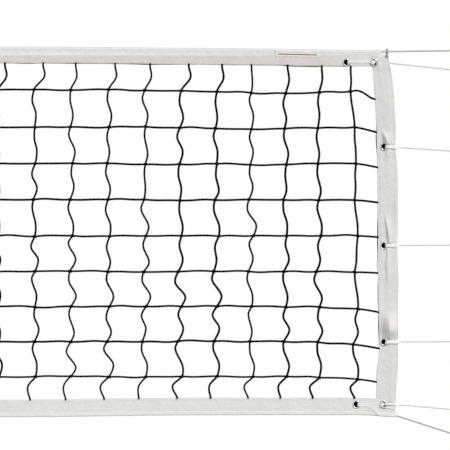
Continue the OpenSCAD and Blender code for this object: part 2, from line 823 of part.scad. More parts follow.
module eyelet() {
    barrel_h = net_body_t + 2 * eyelet_t + 0.1;
    rotate([90, 0, 0]) rotate_extrude() {
        translate([eyelet_hole_d / 2, -barrel_h / 2]) square([eyelet_t, barrel_h]);
        for (z = [-barrel_h / 2, barrel_h / 2 - eyelet_t])
            translate([eyelet_hole_d / 2, z]) square([(eyelet_rim_d - eyelet_hole_d) / 2, eyelet_t]);
    }
}

module eyelets() {
    color("silver") on_both_sides() {
        for (place = tie_eyelets)
            translate([half_len - place[0], 0, net_top_z - place[1]]) eyelet();
        translate([half_len - corner_insets[1], 0, net_top_z - top_eyelet_depth]) eyelet();
        translate([half_len - low_insets[1], 0, net_top_z - low_eyelet_depth]) eyelet();
    }
}

// A blank patch on the front of the top tape
module label_patch() {
    patch_y = -net_body_t / 2 - 0.1;
    patch_right = half_len - 215;
    patch_top = cable_z - 2 * (cable_fold_r + tape_t) - 0.5;
    color("ghostwhite")
        block([patch_right - patch_len, patch_y - patch_t, patch_top - patch_h],
              [patch_right, patch_y, patch_top]);
}

// A bent steel clip over each top corner, which keeps the cable in its fold
module corner_clips() {
    clip_in = cable_fold_r + tape_t + seat_gap;
    clip_t = 1.5;
    clip_w = 6;
    clip_inset = 30;
    clip_leg = 18;
    color("gray") on_both_sides()
        translate([half_len - clip_inset - clip_w / 2, 0, cable_z]) rotate([90, 0, 90])
            linear_extrude(clip_w) difference() {
                translate([-clip_in - clip_t, -clip_leg])
                    square([2 * (clip_in + clip_t), clip_leg + clip_in + clip_t]);
                translate([-clip_in, -clip_leg - over]) square([2 * clip_in, clip_leg + over + clip_in]);
            }
}

// --- Mesh ----------------------------------------------------------------------------------

// Depths at which an upright twine swings to one side and back, twice for each mesh
sway_depths = [
    for (d = [first_row_depth - 0.75 * mesh_h : mesh_h / 2 : net_h])
        if (d > top_tape_w + 10 && d < net_h - bottom_tape_w - 10) d
];
function sway_at(d) =
    let (share = (d - first_row_depth + mesh_h) / mesh_h)
    twine_sway * (share - floor(share) < 0.5 ? -1 : 1);

module net_uprights() {
    top_z = net_top_z - top_tape_w - seat_gap;
    low_z = net_bottom_z + bottom_tape_w + seat_gap;
    color("black")
        for (i = [0 : column_count - 1]) {
            x = -half_len + column_inset + i * column_gap;
            tube(concat(
                [[x, -twine_y, top_z]],
                [for (d = sway_depths) [x + sway_at(d), -twine_y, net_top_z - d]],
                [[x, -twine_y, low_z]]
            ), twine_d / 2, twine_sides);
        }
}

module net_levels() {
    end_x = half_len - side_tape_w - seat_gap;
    color("black")
        for (row = [0 : row_count - 1]) {
            z = net_top_z - first_row_depth - row * row_pitch;
            tube(concat(
                [[-end_x, twine_y, z]],
                [
                    for (i = [0 : column_count - 1])
                        [-half_len + column_inset + i * column_gap, twine_y,
                         z + twine_dip * (i % 2 == 0 ? -1 : 1)]
                ],
                [[end_x, twine_y, z]]
            ), twine_d / 2, twine_sides, [for (i = [0 : column_count + 1]) [0, 1, 0]]);
        }
}

// --- Ropes ---------------------------------------------------------------------------------

// Ropes pass the tape side by side: in the corner eyelets the tie above and the lashing below
strand_y = net_body_t / 2 + eyelet_t + seat_gap + rope_r;
share_z = rope_r + 0.5;
knot_r = knot_d / 2;

// How far from an eyelet's middle a rope passes the tape, if it passes at height z in the hole
function pass_x(z) = sqrt(pow(eyelet_hole_d / 2 - rope_r - seat_gap, 2) - z * z);

// Half a turn of rope round the tape's cut, in the plane of X and Y, open towards +X
module rope_bend() {
    rotate([0, 0, 90]) rotate_extrude(angle = 180) translate([strand_y, 0]) circle(r = rope_r, $fn = 24);
}

module corner_lashings() {
    turn_x = strand_y - pass_x(share_z);
    color("white") on_both_sides()
        for (row = [[corner_insets, top_eyelet_depth], [low_insets, low_eyelet_depth]]) {
            low_x = half_len - row[0][1] + turn_x;
            high_x = half_len - row[0][0] - turn_x;
            translate([0, 0, net_top_z - row[1] - share_z]) {
                for (y = [-strand_y, strand_y]) bar_x(y, 0, low_x, high_x, rope_r);
                translate([low_x, 0, 0]) rope_bend();
                translate([high_x, 0, 0]) mirror([1, 0, 0]) rope_bend();
            }
        }
}

// Each rope runs on one straight line from its eyelet to its knot at the hook
tie_count = len(tie_eyelets);
tie_shifts = [share_z, 0, 0, 0, share_z];
hook_knot_x = hook_end_x - loop_r - knot_r * 0.7;
function tie_start(i) = [half_len - tie_eyelets[i][0], 0, net_top_z - tie_eyelets[i][1] + tie_shifts[i]];
function hook_knot(i) = [hook_knot_x, 0, net_top_z - hook_drops[i]];
function tie_way(i) = unit(hook_knot(i) - tie_start(i));
// From the eyelet to the knot just past the tape's outer edge
function tie_loop_len(i) = (tie_eyelets[i][0] + knot_r + seat_gap) / tie_way(i)[0];
function tie_knot(i) = tie_start(i) + tie_way(i) * tie_loop_len(i);

module rope_loops(right) {
    color("white") on_side(right)
        for (i = [0 : tie_count - 1]) {
            turn_x = strand_y - pass_x(tie_shifts[i]);
            slope = atan2(tie_way(i)[2], tie_way(i)[0]);
            translate(tie_start(i)) rotate([0, -slope, 0]) {
                for (y = [-strand_y, strand_y]) bar_x(y, 0, turn_x, tie_loop_len(i), rope_r);
                translate([turn_x, 0, 0]) rope_bend();
                translate([tie_loop_len(i), 0, 0]) sphere(r = knot_r);
            }
        }
}

module hook_loops(right) {
    color("white") on_side(right)
        for (i = [0 : len(hook_drops) - 1]) {
            translate([hook_end_x, 0, net_top_z - hook_drops[i]])
                rotate_extrude() translate([loop_r, 0]) circle(r = rope_r, $fn = 24);
            translate(hook_knot(i)) sphere(r = knot_r);
        }
}

module tie_rope(right, i) {
    color("white") on_side(right)
        tube([tie_knot(i) + tie_way(i) * knot_r, hook_knot(i) - tie_way(i) * knot_r], rope_r, 8);
}

// The line runs through the bottom tape's fold and slants down to the lowest hook on each side
line_start = [half_len, 0, line_z];
line_end = hook_knot(tie_count) - unit(hook_knot(tie_count) - line_start) * knot_r;

module bottom_line() {
    color("gray") tube([
        [-line_end[0], 0, line_end[2]], [-line_start[0], 0, line_z], line_start, line_end
    ], bottom_line_d / 2, 8);
}

// --- Nodes ---------------------------------------------------------------------------------

base_plate(true);  // base_plate_right
base_plate(false);  // base_plate_left
gussets();
lower_tube(true);  // lower_tube_right
lower_tube(false);  // lower_tube_left
guide_bushes();
clamp_collar(true);  // clamp_collar_right
clamp_collar(false);  // clamp_collar_left
clamp_bolts();
clamp_lever(true);  // clamp_lever_right
clamp_lever(false);  // clamp_lever_left
mast(true);  // mast_right
mast(false);  // mast_left
mast_feet();
mast_caps();
sheave_axles();
sheave(true);  // sheave_right
sheave(false);  // sheave_left
rope_hooks(true);  // rope_hooks_right
rope_hooks(false);  // rope_hooks_left
cable_peg();
cable_eye();
headline_cable();
cable_winding();
winch_frame();
winch_u_bolts();
drum_shaft();
winch_drum();
drum_gear();
crank_shaft();
crank_arm();
crank_grip();
top_tape();
bottom_tape();
side_tape(true);  // side_tape_right
side_tape(false);  // side_tape_left
net_uprights();
net_levels();
eyelets();
corner_lashings();
corner_clips();
rope_loops(true);  // rope_loops_right
rope_loops(false);  // rope_loops_left
hook_loops(true);  // hook_loops_right
hook_loops(false);  // hook_loops_left
bottom_line();
label_patch();
tie_rope(true, 0);  // tie_rope_right_1
tie_rope(true, 1);  // tie_rope_right_2
tie_rope(true, 2);  // tie_rope_right_3
tie_rope(true, 3);  // tie_rope_right_4
tie_rope(true, 4);  // tie_rope_right_5
tie_rope(false, 0);  // tie_rope_left_1
tie_rope(false, 1);  // tie_rope_left_2
tie_rope(false, 2);  // tie_rope_left_3
tie_rope(false, 3);  // tie_rope_left_4
tie_rope(false, 4);  // tie_rope_left_5
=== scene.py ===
"""A volleyball net on two telescopic posts, dressed for the library. All sizes are in metres."""
import sys
import logging
import math
import random
from dataclasses import dataclass, field
from enum import Enum
from typing import Callable, Iterable, Optional, Sequence

import bpy
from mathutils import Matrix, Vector, noise


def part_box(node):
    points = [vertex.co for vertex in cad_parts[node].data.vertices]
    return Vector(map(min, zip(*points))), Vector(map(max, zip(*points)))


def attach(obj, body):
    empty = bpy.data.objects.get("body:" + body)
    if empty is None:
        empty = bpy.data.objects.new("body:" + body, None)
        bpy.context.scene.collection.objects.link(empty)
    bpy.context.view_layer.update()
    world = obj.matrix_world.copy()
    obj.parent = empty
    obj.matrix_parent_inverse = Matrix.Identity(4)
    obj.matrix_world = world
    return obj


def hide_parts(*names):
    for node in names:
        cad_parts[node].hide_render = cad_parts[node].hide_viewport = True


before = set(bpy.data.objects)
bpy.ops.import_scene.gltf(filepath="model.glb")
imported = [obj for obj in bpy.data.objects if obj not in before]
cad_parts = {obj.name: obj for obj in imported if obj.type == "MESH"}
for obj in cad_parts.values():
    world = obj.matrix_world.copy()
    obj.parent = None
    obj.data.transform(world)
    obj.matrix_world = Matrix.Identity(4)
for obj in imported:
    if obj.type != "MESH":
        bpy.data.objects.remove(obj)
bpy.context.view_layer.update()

LOG = logging.getLogger("net")
Point = Sequence[float]
Triple = tuple[float, float, float]
Socket = bpy.types.NodeSocket


class Body(Enum):
    """The rigid bodies that the pieces made here ride on."""

    STANDS = "floor_stands"
    MASTS = "net_and_masts"
    GRIP = "grip"


class Side(Enum):
    """The two ends of the net, by the sign of X."""

    RIGHT = 1
    LEFT = -1

    @property
    def word(self) -> str:
        """The side's name in lower case."""
        return self.name.lower()


def smooth(low: float, high: float, value: float) -> float:
    """Rises smoothly from 0 to 1.

    Args:
        low: Where the rise starts.
        high: Where it ends.
        value: The place asked about.

    Returns:
        The height there, from 0 to 1.
    """
    share = min(1.0, max(0.0, (value - low) / (high - low)))
    return share * share * (3 - 2 * share)


def hump(centre: float, width: float, value: float) -> float:
    """The height, up to 1, of a bell of that width round a centre."""
    return math.exp(-((value - centre) / width) ** 2)


def drift(x: float, y: float = 0.0, z: float = 0.0) -> float:
    """Smooth noise between about -1 and 1, the same in each run."""
    return noise.noise(Vector((x, y, z)))


# --- Finishes ---


class Paper:
    """A material's node tree while it is drawn up."""

    def __init__(self, name: str) -> None:
        """Starts a material with one Principled shader.

        Args:
            name: The material's name.
        """
        self.material = bpy.data.materials.new(name)
        self.material.use_nodes = True
        self.tree = self.material.node_tree
        self.shader = self.tree.nodes["Principled BSDF"]
        self.coords = self.tree.nodes.new("ShaderNodeTexCoord")

    def feed(self, socket: Socket, value: object) -> None:
        """Links a socket's value, or sets it where it is a number or a tuple."""
        if isinstance(value, Socket):
            self.tree.links.new(value, socket)
        else:
            socket.default_value = value

    def set(self, **values: object) -> None:
        """Sets or links inputs of the shader by name, with _ for each space."""
        for name, value in values.items():
            self.feed(self.shader.inputs[name.replace("_", " ")], value)

    def place(self, stretch: Point) -> Socket:
        """Object coordinates, stretched by a factor along each axis."""
        node = self.tree.nodes.new("ShaderNodeMapping")
        node.inputs["Scale"].default_value = stretch
        self.feed(node.inputs["Vector"], self.coords.outputs["Object"])
        return node.outputs["Vector"]

    def axes(self, vector: Optional[Socket] = None) -> bpy.types.NodeOutputs:
        """The parts of a vector, or of the object coordinates, by X, Y or Z."""
        node = self.tree.nodes.new("ShaderNodeSeparateXYZ")
        self.feed(node.inputs["Vector"], vector or self.coords.outputs["Object"])
        return node.outputs

    def facing(self) -> Socket:
        """How far up the surface faces, from -1 to 1."""
        return self.axes(self.tree.nodes.new("ShaderNodeNewGeometry").outputs["Normal"])["Z"]

    def cloud(self, grain: float, detail: float, where: Optional[Socket] = None) -> Socket:
        """Noise whose blobs are about as wide as the grain.

        Args:
            grain: Size of a blob in metres.
            detail: Octaves of finer noise.
            where: The vector socket, or none for object coordinates.

        Returns:
            The factor socket.
        """
        node = self.tree.nodes.new("ShaderNodeTexNoise")
        node.inputs["Scale"].default_value = 1.0 / grain
        node.inputs["Detail"].default_value = detail
        self.feed(node.inputs["Vector"], where or self.coords.outputs["Object"])
        return node.outputs["Fac"]

    def bands(self, period: float, axis: str, wobble: float = 0.0, where: Optional[Socket] = None) -> Socket:
        """Sine bands across an axis.

        Args:
            period: Distance from band to band in metres.
            axis: X, Y, Z or DIAGONAL.
            wobble: Distortion of the bands.
            where: The vector socket, or none for object coordinates.

        Returns:
            The factor socket.
        """
        node = self.tree.nodes.new("ShaderNodeTexWave")
        node.bands_direction = axis
        node.inputs["Scale"].default_value = 2 * math.pi / (20 * period)
        node.inputs["Distortion"].default_value = wobble
        self.feed(node.inputs["Vector"], where or self.coords.outputs["Object"])
        return node.outputs["Fac"]

    def mixed(self, kind: str, first: object, second: object) -> Socket:
        """The result of a maths operation.

        Args:
            kind: The operation's name in Blender.
            first: Its first socket or number.
            second: Its second socket or number.

        Returns:
            The result's socket.
        """
        node = self.tree.nodes.new("ShaderNodeMath")
        node.operation = kind
        self.feed(node.inputs[0], first)
        self.feed(node.inputs[1], second)
        return node.outputs["Value"]

    def ramp(self, factor: Socket, *stops: tuple[float, Point]) -> Socket:
        """A colour ramp.

        Args:
            factor: The factor socket.
            stops: Pairs of place and colour.

        Returns:
            The colour socket.
        """
        node = self.tree.nodes.new("ShaderNodeValToRGB")
        band = node.color_ramp
        while len(band.elements) < len(stops):
            band.elements.new(0.5)
        for element, (place, colour) in zip(band.elements, stops):
            element.position = place
            element.color = (*colour, 1.0)
        self.feed(node.inputs["Fac"], factor)
        return node.outputs["Color"]

    def ranged(self, value: Socket, low: float, high: float, limits: str) -> Socket:
        """A value brought from one range to another, one of which is 0 to 1.

        Args:
            value: The value's socket.
            low: The start of the other range.
            high: The end of the other range.
            limits: To, if the result lies in the other range, or From, if the value does.

        Returns:
            The result's socket.
        """
        node = self.tree.nodes.new("ShaderNodeMapRange")
        node.inputs[f"{limits} Min"].default_value = low
        node.inputs[f"{limits} Max"].default_value = high
        self.feed(node.inputs["Value"], value)
        return node.outputs["Result"]

    def span(self, factor: Socket, low: float, high: float) -> Socket:
        """A factor spread between two values."""
        return self.ranged(factor, low, high, "To")

    def step(self, value: Socket, low: float, high: float) -> Socket:
        """A factor that rises from 0 to 1 while a value goes from low to high."""
        return self.ranged(value, low, high, "From")

    def blend(self, factor: Socket, first: object, second: object) -> Socket:
        """A colour between two sockets or colours.

        Args:
            factor: The factor socket.
            first: The colour at 0.
            second: The colour at 1.

        Returns:
            The colour socket.
        """
        node = self.tree.nodes.new("ShaderNodeMix")
        node.data_type = "RGBA"
        self.feed(node.inputs["Factor"], factor)
        for name, value in (("A", first), ("B", second)):
            self.feed(node.inputs[name], (*value, 1.0) if isinstance(value, tuple) else value)
        return node.outputs["Result"]

    def edges(self, radius: float) -> Socket:
        """How worn an edge is: 0 on a face and 1 where the surface turns sharply.

        Args:
            radius: Reach of the wear in metres.

        Returns:
            The factor socket.
        """
        bevel = self.tree.nodes.new("ShaderNodeBevel")
        bevel.inputs["Radius"].default_value = radius
        geometry = self.tree.nodes.new("ShaderNodeNewGeometry")
        dot = self.tree.nodes.new("ShaderNodeVectorMath")
        dot.operation = "DOT_PRODUCT"
        self.feed(dot.inputs[0], bevel.outputs["Normal"])
        self.feed(dot.inputs[1], geometry.outputs["Normal"])
        return self.mixed("SUBTRACT", 1.0, dot.outputs["Value"])

    def relief(self, *layers: tuple[Socket, float]) -> None:
        """Bump on the shader's normal.

        Args:
            layers: Pairs of height socket and its height in metres.
        """
        last = None
        for height, rise in layers:
            node = self.tree.nodes.new("ShaderNodeBump")
            node.inputs["Strength"].default_value = 1.0
            node.inputs["Distance"].default_value = rise
            self.feed(node.inputs["Height"], height)
            if last is not None:
                self.feed(node.inputs["Normal"], last)
            last = node.outputs["Normal"]
        self.set(Normal=last)


def shade(colour: Point, factor: float) -> tuple[float, ...]:
    """A colour made lighter or darker by a factor."""
    return tuple(min(1.0, part * factor) for part in colour)


@dataclass(frozen=True)
class CoatedCloth:
    """Coated woven tape: a fine plain weave under a satin coat, with faint handling marks.

    Along the folds, where the cloth faces up or down, its colour can be darkened: painted shade. Above the
    band's height the cloth is lighter, painted light on the fold round the cable, and below it, it is warmer
    away from the net's ends.
    """

    name: str = "coated_cloth"
    colour: Triple = (0.667, 0.667, 0.652)
    thread: float = 0.0011
    band_z: float = 0.0
    band_x: float = 4.605
    # The lighter colour above the band's height is painted light on the fold round the cable.
    above: Triple = (0.765, 0.77, 0.76)
    beyond: Triple = (0.68, 0.68, 0.672)
    dusty: bool = True
    marks: float = 0.05
    ripple: tuple[float, float] = (0.022, 0.0022)
    weave_rise: float = 0.00006

    def tinted(self, paper: Paper, marks: Socket, colour: Point, worn: float, clean: float) -> Socket:
        """A colour with its factors where the handling marks are strong and where there are none."""
        return paper.ramp(marks, (0.25, shade(colour, worn)), (0.8, shade(colour, clean)))

    def make(self) -> bpy.types.Material:
        """The material."""
        paper = Paper(self.name)
        marks = paper.cloud(self.marks, 5)
        base = paper.ramp(marks, (0.25, shade(self.colour, 0.95)), (0.55, self.colour),
                          (0.8, shade(self.colour, 1.03)))
        # Above the band's height the colour is lighter: painted light on the fold round the cable. Below it,
        # away from the net's ends, the cloth is warmer.
        if self.band_z:
            parts = paper.axes()
            high = paper.step(parts["Z"], self.band_z - 0.002, self.band_z + 0.002)
            far = paper.step(paper.mixed("ABSOLUTE", parts["X"], 0.0), self.band_x - 0.04, self.band_x + 0.04)
            upper = self.tinted(paper, marks, self.above, 0.96, 1.0)
            ends = self.tinted(paper, marks, self.beyond, 0.96, 1.0)
            base = paper.blend(high, paper.blend(far, base, ends), upper)
        # Where the cloth faces up or down along its folds, its colour is darkened: painted shade.
        if self.dusty:
            share = paper.step(paper.mixed("ABSOLUTE", paper.facing(), 0.0), 0.35, 0.95)
            base = paper.blend(share, base, self.tinted(paper, marks, self.colour, 0.62, 0.72))
        paper.set(Base_Color=base, Roughness=paper.span(marks, 0.5, 0.66), Sheen_Weight=0.08,
                  Sheen_Roughness=0.5, Specular_IOR_Level=0.35)
        weave = paper.mixed("ADD", paper.bands(self.thread, "X"), paper.bands(self.thread, "Z"))
        size, rise = self.ripple
        paper.relief((paper.cloud(size, 4), rise), (weave, self.weave_rise))
        return paper.material


@dataclass(frozen=True)
class Twine:
    """Braided or laid cord: strands slant round it, with fibres between them."""

    name: str
    colour: Triple
    lay: float
    rough: float
    fuzz: float = 0.1
    shine: float = 0.3
    fibre: float = 0.0009
    fibre_rise: float = 0.00006

    def make(self) -> bpy.types.Material:
        """The material."""
        paper = Paper(self.name)
        lay = paper.bands(self.lay, "DIAGONAL", 0.6)
        cross = paper.bands(self.lay, "DIAGONAL", 0.6, paper.place((1, 1, -1)))
        braid = paper.mixed("MULTIPLY", lay, cross)
        fibres = paper.cloud(self.fibre, 4)
        tone = paper.mixed("MULTIPLY", paper.span(braid, 0.55, 1.0), paper.span(fibres, 0.7, 1.0))
        paper.set(Base_Color=paper.ramp(tone, (0.3, shade(self.colour, 0.8)), (0.7, self.colour)),
                  Roughness=paper.span(fibres, self.rough - 0.1, self.rough + 0.1),
                  Sheen_Weight=self.fuzz, Sheen_Roughness=0.6, Specular_IOR_Level=self.shine)
        paper.relief((braid, 0.08 * self.lay), (fibres, self.fibre_rise))
        return paper.material


@dataclass(frozen=True)
class PowderCoat:
    """Powder-coated steel: orange peel, a little dust and worn edges that show the metal."""

    name: str
    colour: Triple
    rough: float
    wear: float
    steel: Triple = (0.42, 0.42, 0.43)
    dust: float = 0.12
    worn_edge: float = 0.0016
    peel: tuple[float, float] = (0.0022, 0.00008)

    def make(self) -> bpy.types.Material:
        """The material."""
        paper = Paper(self.name)
        dust = paper.cloud(self.dust, 6)
        base = paper.ramp(dust, (0.3, shade(self.colour, 0.9)), (0.7, shade(self.colour, 1.06)))
        rub = paper.mixed("MULTIPLY", paper.edges(self.worn_edge), paper.cloud(0.006, 4))
        worn = paper.mixed("GREATER_THAN", rub, 1.0 - self.wear * 0.9 - 0.65)
        paper.set(Base_Color=paper.blend(worn, base, self.steel), Metallic=worn,
                  Roughness=paper.span(dust, self.rough - 0.06, self.rough + 0.12), Coat_Weight=0.12,
                  Coat_Roughness=0.25)
        size, rise = self.peel
        paper.relief((paper.cloud(size, 2), rise))
        return paper.material


@dataclass(frozen=True)
class BareMetal:
    """Metal with a drawn or turned grain, stains and scratches, some darkened on what faces down: painted
    shade.
    """

    name: str
    colour: Triple
    rough: float
    grain: Triple = (1, 1, 18)
    stain: float = 0.18
    grime: bool = False
    blotch: float = 0.018
    streak: tuple[float, float] = (0.004, 0.00004)

    def make(self) -> bpy.types.Material:
        """The material."""
        paper = Paper(self.name)
        blotch = paper.cloud(self.blotch, 5)
        base = paper.ramp(blotch, (0.3, shade(self.colour, 1 - self.stain)), (0.7, self.colour))
        # Darker where the metal faces down: painted shade on its underside.
        if self.grime:
            base = paper.blend(paper.step(paper.facing(), -0.15, -0.65), base, shade(self.colour, 0.06))
        size, rise = self.streak
        streak = paper.cloud(size, 6, paper.place(self.grain))
        rough = paper.span(blotch, self.rough - 0.05, self.rough + 0.12)
        paper.set(Base_Color=base, Metallic=1.0,
                  Roughness=paper.mixed("ADD", paper.span(streak, -0.08, 0.1), rough))
        paper.relief((streak, rise))
        return paper.material


@dataclass(frozen=True)
class Moulded:
    """Moulded plastic or rubber: a fine grain and faint scuffs."""

    name: str
    colour: Triple
    rough: float
    grain: float = 0.0008
    rise: float = 0.00006
    scuff: float = 0.03

    def make(self) -> bpy.types.Material:
        """The material."""
        paper = Paper(self.name)
        scuff = paper.cloud(self.scuff, 6)
        colour = paper.ramp(scuff, (0.35, shade(self.colour, 0.88)), (0.7, shade(self.colour, 1.15)))
        paper.set(Base_Color=colour, Roughness=paper.span(scuff, self.rough - 0.08, self.rough + 0.12))
        paper.relief((paper.cloud(self.grain, 2), self.rise))
        return paper.material


class Wardrobe:
    """Every finish of the part, made once and handed out by name."""

    def __init__(self) -> None:
        """Draws up each finish."""
        finishes = [
            CoatedCloth(),
            CoatedCloth("side_cloth", (0.645, 0.64, 0.627), dusty=False),
            CoatedCloth("banded_cloth", (0.615, 0.595, 0.572), band_z=2.4155),
            CoatedCloth("label_cloth", (0.76, 0.75, 0.73), 0.0005, dusty=False),
            Twine("black_twine", (0.003, 0.003, 0.0035), 0.0032, 0.8, 0.0, 0.02),
            # The first and the third of these ropes are the taut rope made lighter: painted highlight on its
            # loops, knots, lacing and the low corner's run.
            Twine("white_rope", (0.93, 0.93, 0.92), 0.0026, 0.7),
            Twine("taut_rope", (0.66, 0.66, 0.655), 0.0026, 0.7),
            Twine("worn_rope", (0.90, 0.90, 0.89), 0.0026, 0.7),
            Twine("grey_line", (0.36, 0.37, 0.38), 0.0026, 0.7),
            Twine("white_thread", (0.66, 0.66, 0.65), 0.0012, 0.6),
            Twine("rust_thread", (0.29, 0.12, 0.07), 0.0012, 0.6),
            Twine("sheathed_cable", (0.50, 0.505, 0.50), 0.0042, 0.4, 0.0),
            PowderCoat("mast_coat", (0.59, 0.60, 0.61), 0.3, 0.18),
            PowderCoat("lower_coat", (0.075, 0.095, 0.13), 0.38, 0.3),
            PowderCoat("collar_coat", (0.035, 0.036, 0.04), 0.55, 0.35),
            PowderCoat("lever_coat", (0.52, 0.035, 0.025), 0.28, 0.3),
            PowderCoat("drum_coat", (0.16, 0.17, 0.18), 0.42, 0.4),
            BareMetal("zinc", (0.62, 0.63, 0.62), 0.34, (14, 1, 1)),
            # The eyelet metal is darkened where it faces down: painted shade under the rims.
            BareMetal("eyelet_metal", (0.80, 0.81, 0.82), 0.24, (1, 30, 1), 0.3, True),
            BareMetal("clip_steel", (0.30, 0.30, 0.295), 0.5),
            BareMetal("brass", (0.74, 0.55, 0.24), 0.28, (1, 20, 1)),
            Moulded("black_plastic", (0.022, 0.022, 0.024), 0.5),
            Moulded("nylon", (0.72, 0.70, 0.64), 0.45),
            Moulded("grip_rubber", (0.018, 0.018, 0.019), 0.7, 0.0012, 0.00015),
        ]
        self.made = {finish.name: finish.make() for finish in finishes}

    def __getitem__(self, name: str) -> bpy.types.Material:
        """The material of that name."""
        return self.made[name]


# --- Mesh code ---


def show(name: str, data: bpy.types.ID) -> bpy.types.Object:
    """A new object with that name and data, in the scene."""
    thing = bpy.data.objects.new(name, data)
    bpy.context.scene.collection.objects.link(thing)
    return thing


@dataclass
class Shell:
    """Vertices and faces under construction."""

    points: list[Triple] = field(default_factory=list)
    faces: list[tuple[int, ...]] = field(default_factory=list)

    def add(self, points: Iterable[Point], faces: Iterable[Sequence[int]]) -> None:
        """Adds a piece of mesh whose faces count from its own first point."""
        start = len(self.points)
        self.points.extend(tuple(p) for p in points)
        self.faces.extend(tuple(start + i for i in face) for face in faces)

    def tube(self, path: Sequence[Point], radius: float, sides: int = 8, closed: bool = False,
             flat: float = 1.0) -> None:
        """Adds a tube along a path, without a twist.

        Args:
            path: The points it runs through.
            radius: Its radius.
            sides: Corners of its section.
            closed: Whether its end meets its start.
            flat: Factor on its thickness across Y.
        """
        line = [Vector(p) for p in path]
        count = len(line)
        rings: list[Triple] = []
        up = None
        for i, here in enumerate(line):
            before = line[i - 1] if i or closed else here
            after = line[(i + 1) % count] if i < count - 1 or closed else here
            along = (after - before).normalized()
            if up is None:
                up = along.orthogonal().normalized()
            up = (up - along * up.dot(along)).normalized()
            across = along.cross(up)
            for k in range(sides):
                angle = 2 * math.pi * k / sides
                step = radius * (math.cos(angle) * up + math.sin(angle) * across)
                rings.append((here.x + step.x, here.y + step.y * flat, here.z + step.z))
        faces: list[tuple[int, ...]] = []
        for i in range(count if closed else count - 1):
            a, b = i * sides, ((i + 1) % count) * sides
            for k in range(sides):
                n = (k + 1) % sides
                faces.append((a + k, a + n, b + n, b + k))
        if not closed:
            faces.append(tuple(range(sides - 1, -1, -1)))
            faces.append(tuple((count - 1) * sides + k for k in range(sides)))
        self.add(rings, faces)

    def lathe(self, outline: Sequence[tuple[float, float]], place: Point, sides: int) -> None:
        """Adds a closed outline, turned about the Y axis through a place.

        Args:
            outline: Pairs of radius and distance along Y.
            place: The centre.
            sides: Steps round the axis.
        """
        count = len(outline)
        points = []
        for k in range(sides):
            angle = 2 * math.pi * k / sides
            for radius, along in outline:
                points.append((place[0] + radius * math.cos(angle), place[1] + along,
                               place[2] + radius * math.sin(angle)))
        faces = []
        for k in range(sides):
            a, b = k * count, ((k + 1) % sides) * count
            for i in range(count):
                n = (i + 1) % count
                faces.append((a + i, a + n, b + n, b + i))
        self.add(points, faces)

    def mesh(self, name: str) -> bpy.types.Mesh:
        """A mesh of the shell's points and faces."""
        mesh = bpy.data.meshes.new(name)
        mesh.from_pydata(self.points, [], self.faces)
        return mesh

    def piece(self, name: str, finish: bpy.types.Material, body: Body, slot: str,
              replaces: Sequence[str] = ()) -> bpy.types.Object:
        """Makes a smoothly shaded object, dresses it and lets it ride.

        Args:
            name: The piece's name.
            finish: Its material.
            body: The body that it rides on.
            slot: The record's material slot; not used.
            replaces: CAD nodes that it stands for.

        Returns:
            The object.
        """
        mesh = self.mesh(name)
        mesh.validate()
        mesh.polygons.foreach_set("use_smooth", [True] * len(mesh.polygons))
        mesh.update()
        mesh.materials.append(finish)
        thing = show(name, mesh)
        settle(thing, body, replaces)
        return thing


def settle(thing: bpy.types.Object, body: Body, replaces: Sequence[str] = ()) -> None:
    """Lets a piece ride on its body and hides the CAD nodes that it stands for.

    Args:
        thing: The piece.
        body: Its body.
        replaces: CAD nodes that it stands for.
    """
    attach(thing, body.value)
    if replaces:
        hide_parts(*replaces)
    LOG.info("%s on %s", thing.name, body.value)


def run_between(first: Point, second: Point, steps: int) -> list[Vector]:
    """Points on a straight line, both ends among them."""
    a, b = Vector(first), Vector(second)
    return [a.lerp(b, i / steps) for i in range(steps + 1)]


def through(marks: Sequence[Point], steps: int = 8) -> list[Vector]:
    """A smooth path through marks.

    Args:
        marks: The places that it passes, both ends among them.
        steps: Points from mark to mark.

    Returns:
        The points.
    """
    stops = [Vector(mark) for mark in marks]
    stops = [2 * stops[0] - stops[1]] + stops + [2 * stops[-1] - stops[-2]]
    path = [stops[1]]
    for a, b, c, d in zip(stops, stops[1:], stops[2:], stops[3:]):
        for k in range(1, steps + 1):
            t = k / steps
            path.append(0.5 * (2 * b + (c - a) * t + (2 * a - 5 * b + 4 * c - d) * t * t
                               + (3 * b - a - 3 * c + d) * t ** 3))
    return path


def length_of(path: Sequence[Point]) -> float:
    """Length of the line through the points."""
    line = [Vector(point) for point in path]
    return sum((b - a).length for a, b in zip(line, line[1:]))


def rope_curve(name: str, path: Sequence[Point], radius: float,
               finish: bpy.types.Material) -> bpy.types.Object:
    """A round rope as a curve of one open spline.

    Args:
        name: The piece's name.
        path: The points of its middle.
        radius: Its radius.
        finish: Its material.

    Returns:
        The curve object.
    """
    curve = bpy.data.curves.new(name, "CURVE")
    curve.dimensions = "3D"
    curve.bevel_depth = radius
    curve.bevel_resolution = 3
    curve.use_fill_caps = True
    spline = curve.splines.new("POLY")
    spline.points.add(len(path) - 1)
    for point, place in zip(spline.points, path):
        point.co = (*place, 1.0)
    curve.materials.append(finish)
    return show(name, curve)


def knot_path(place: Point, size: float, turn: float) -> list[Vector]:
    """A small overhand knot.

    Args:
        place: Its middle.
        size: Half its width, without the rope's own thickness.
        turn: How far it is turned about Y, in radians.

    Returns:
        The points of the closed path.
    """
    path = []
    steps = 30
    for i in range(steps):
        t = 2 * math.pi * i / steps
        x = (math.sin(t) + 2 * math.sin(2 * t)) / 3 * size
        z = (math.cos(t) - 2 * math.cos(2 * t)) / 3 * size
        y = -math.sin(3 * t) / 2.2 * size
        path.append(Vector((place[0] + x * math.cos(turn) - z * math.sin(turn), place[1] + y,
                            place[2] + x * math.sin(turn) + z * math.cos(turn))))
    return path


# --- The net's sizes ---


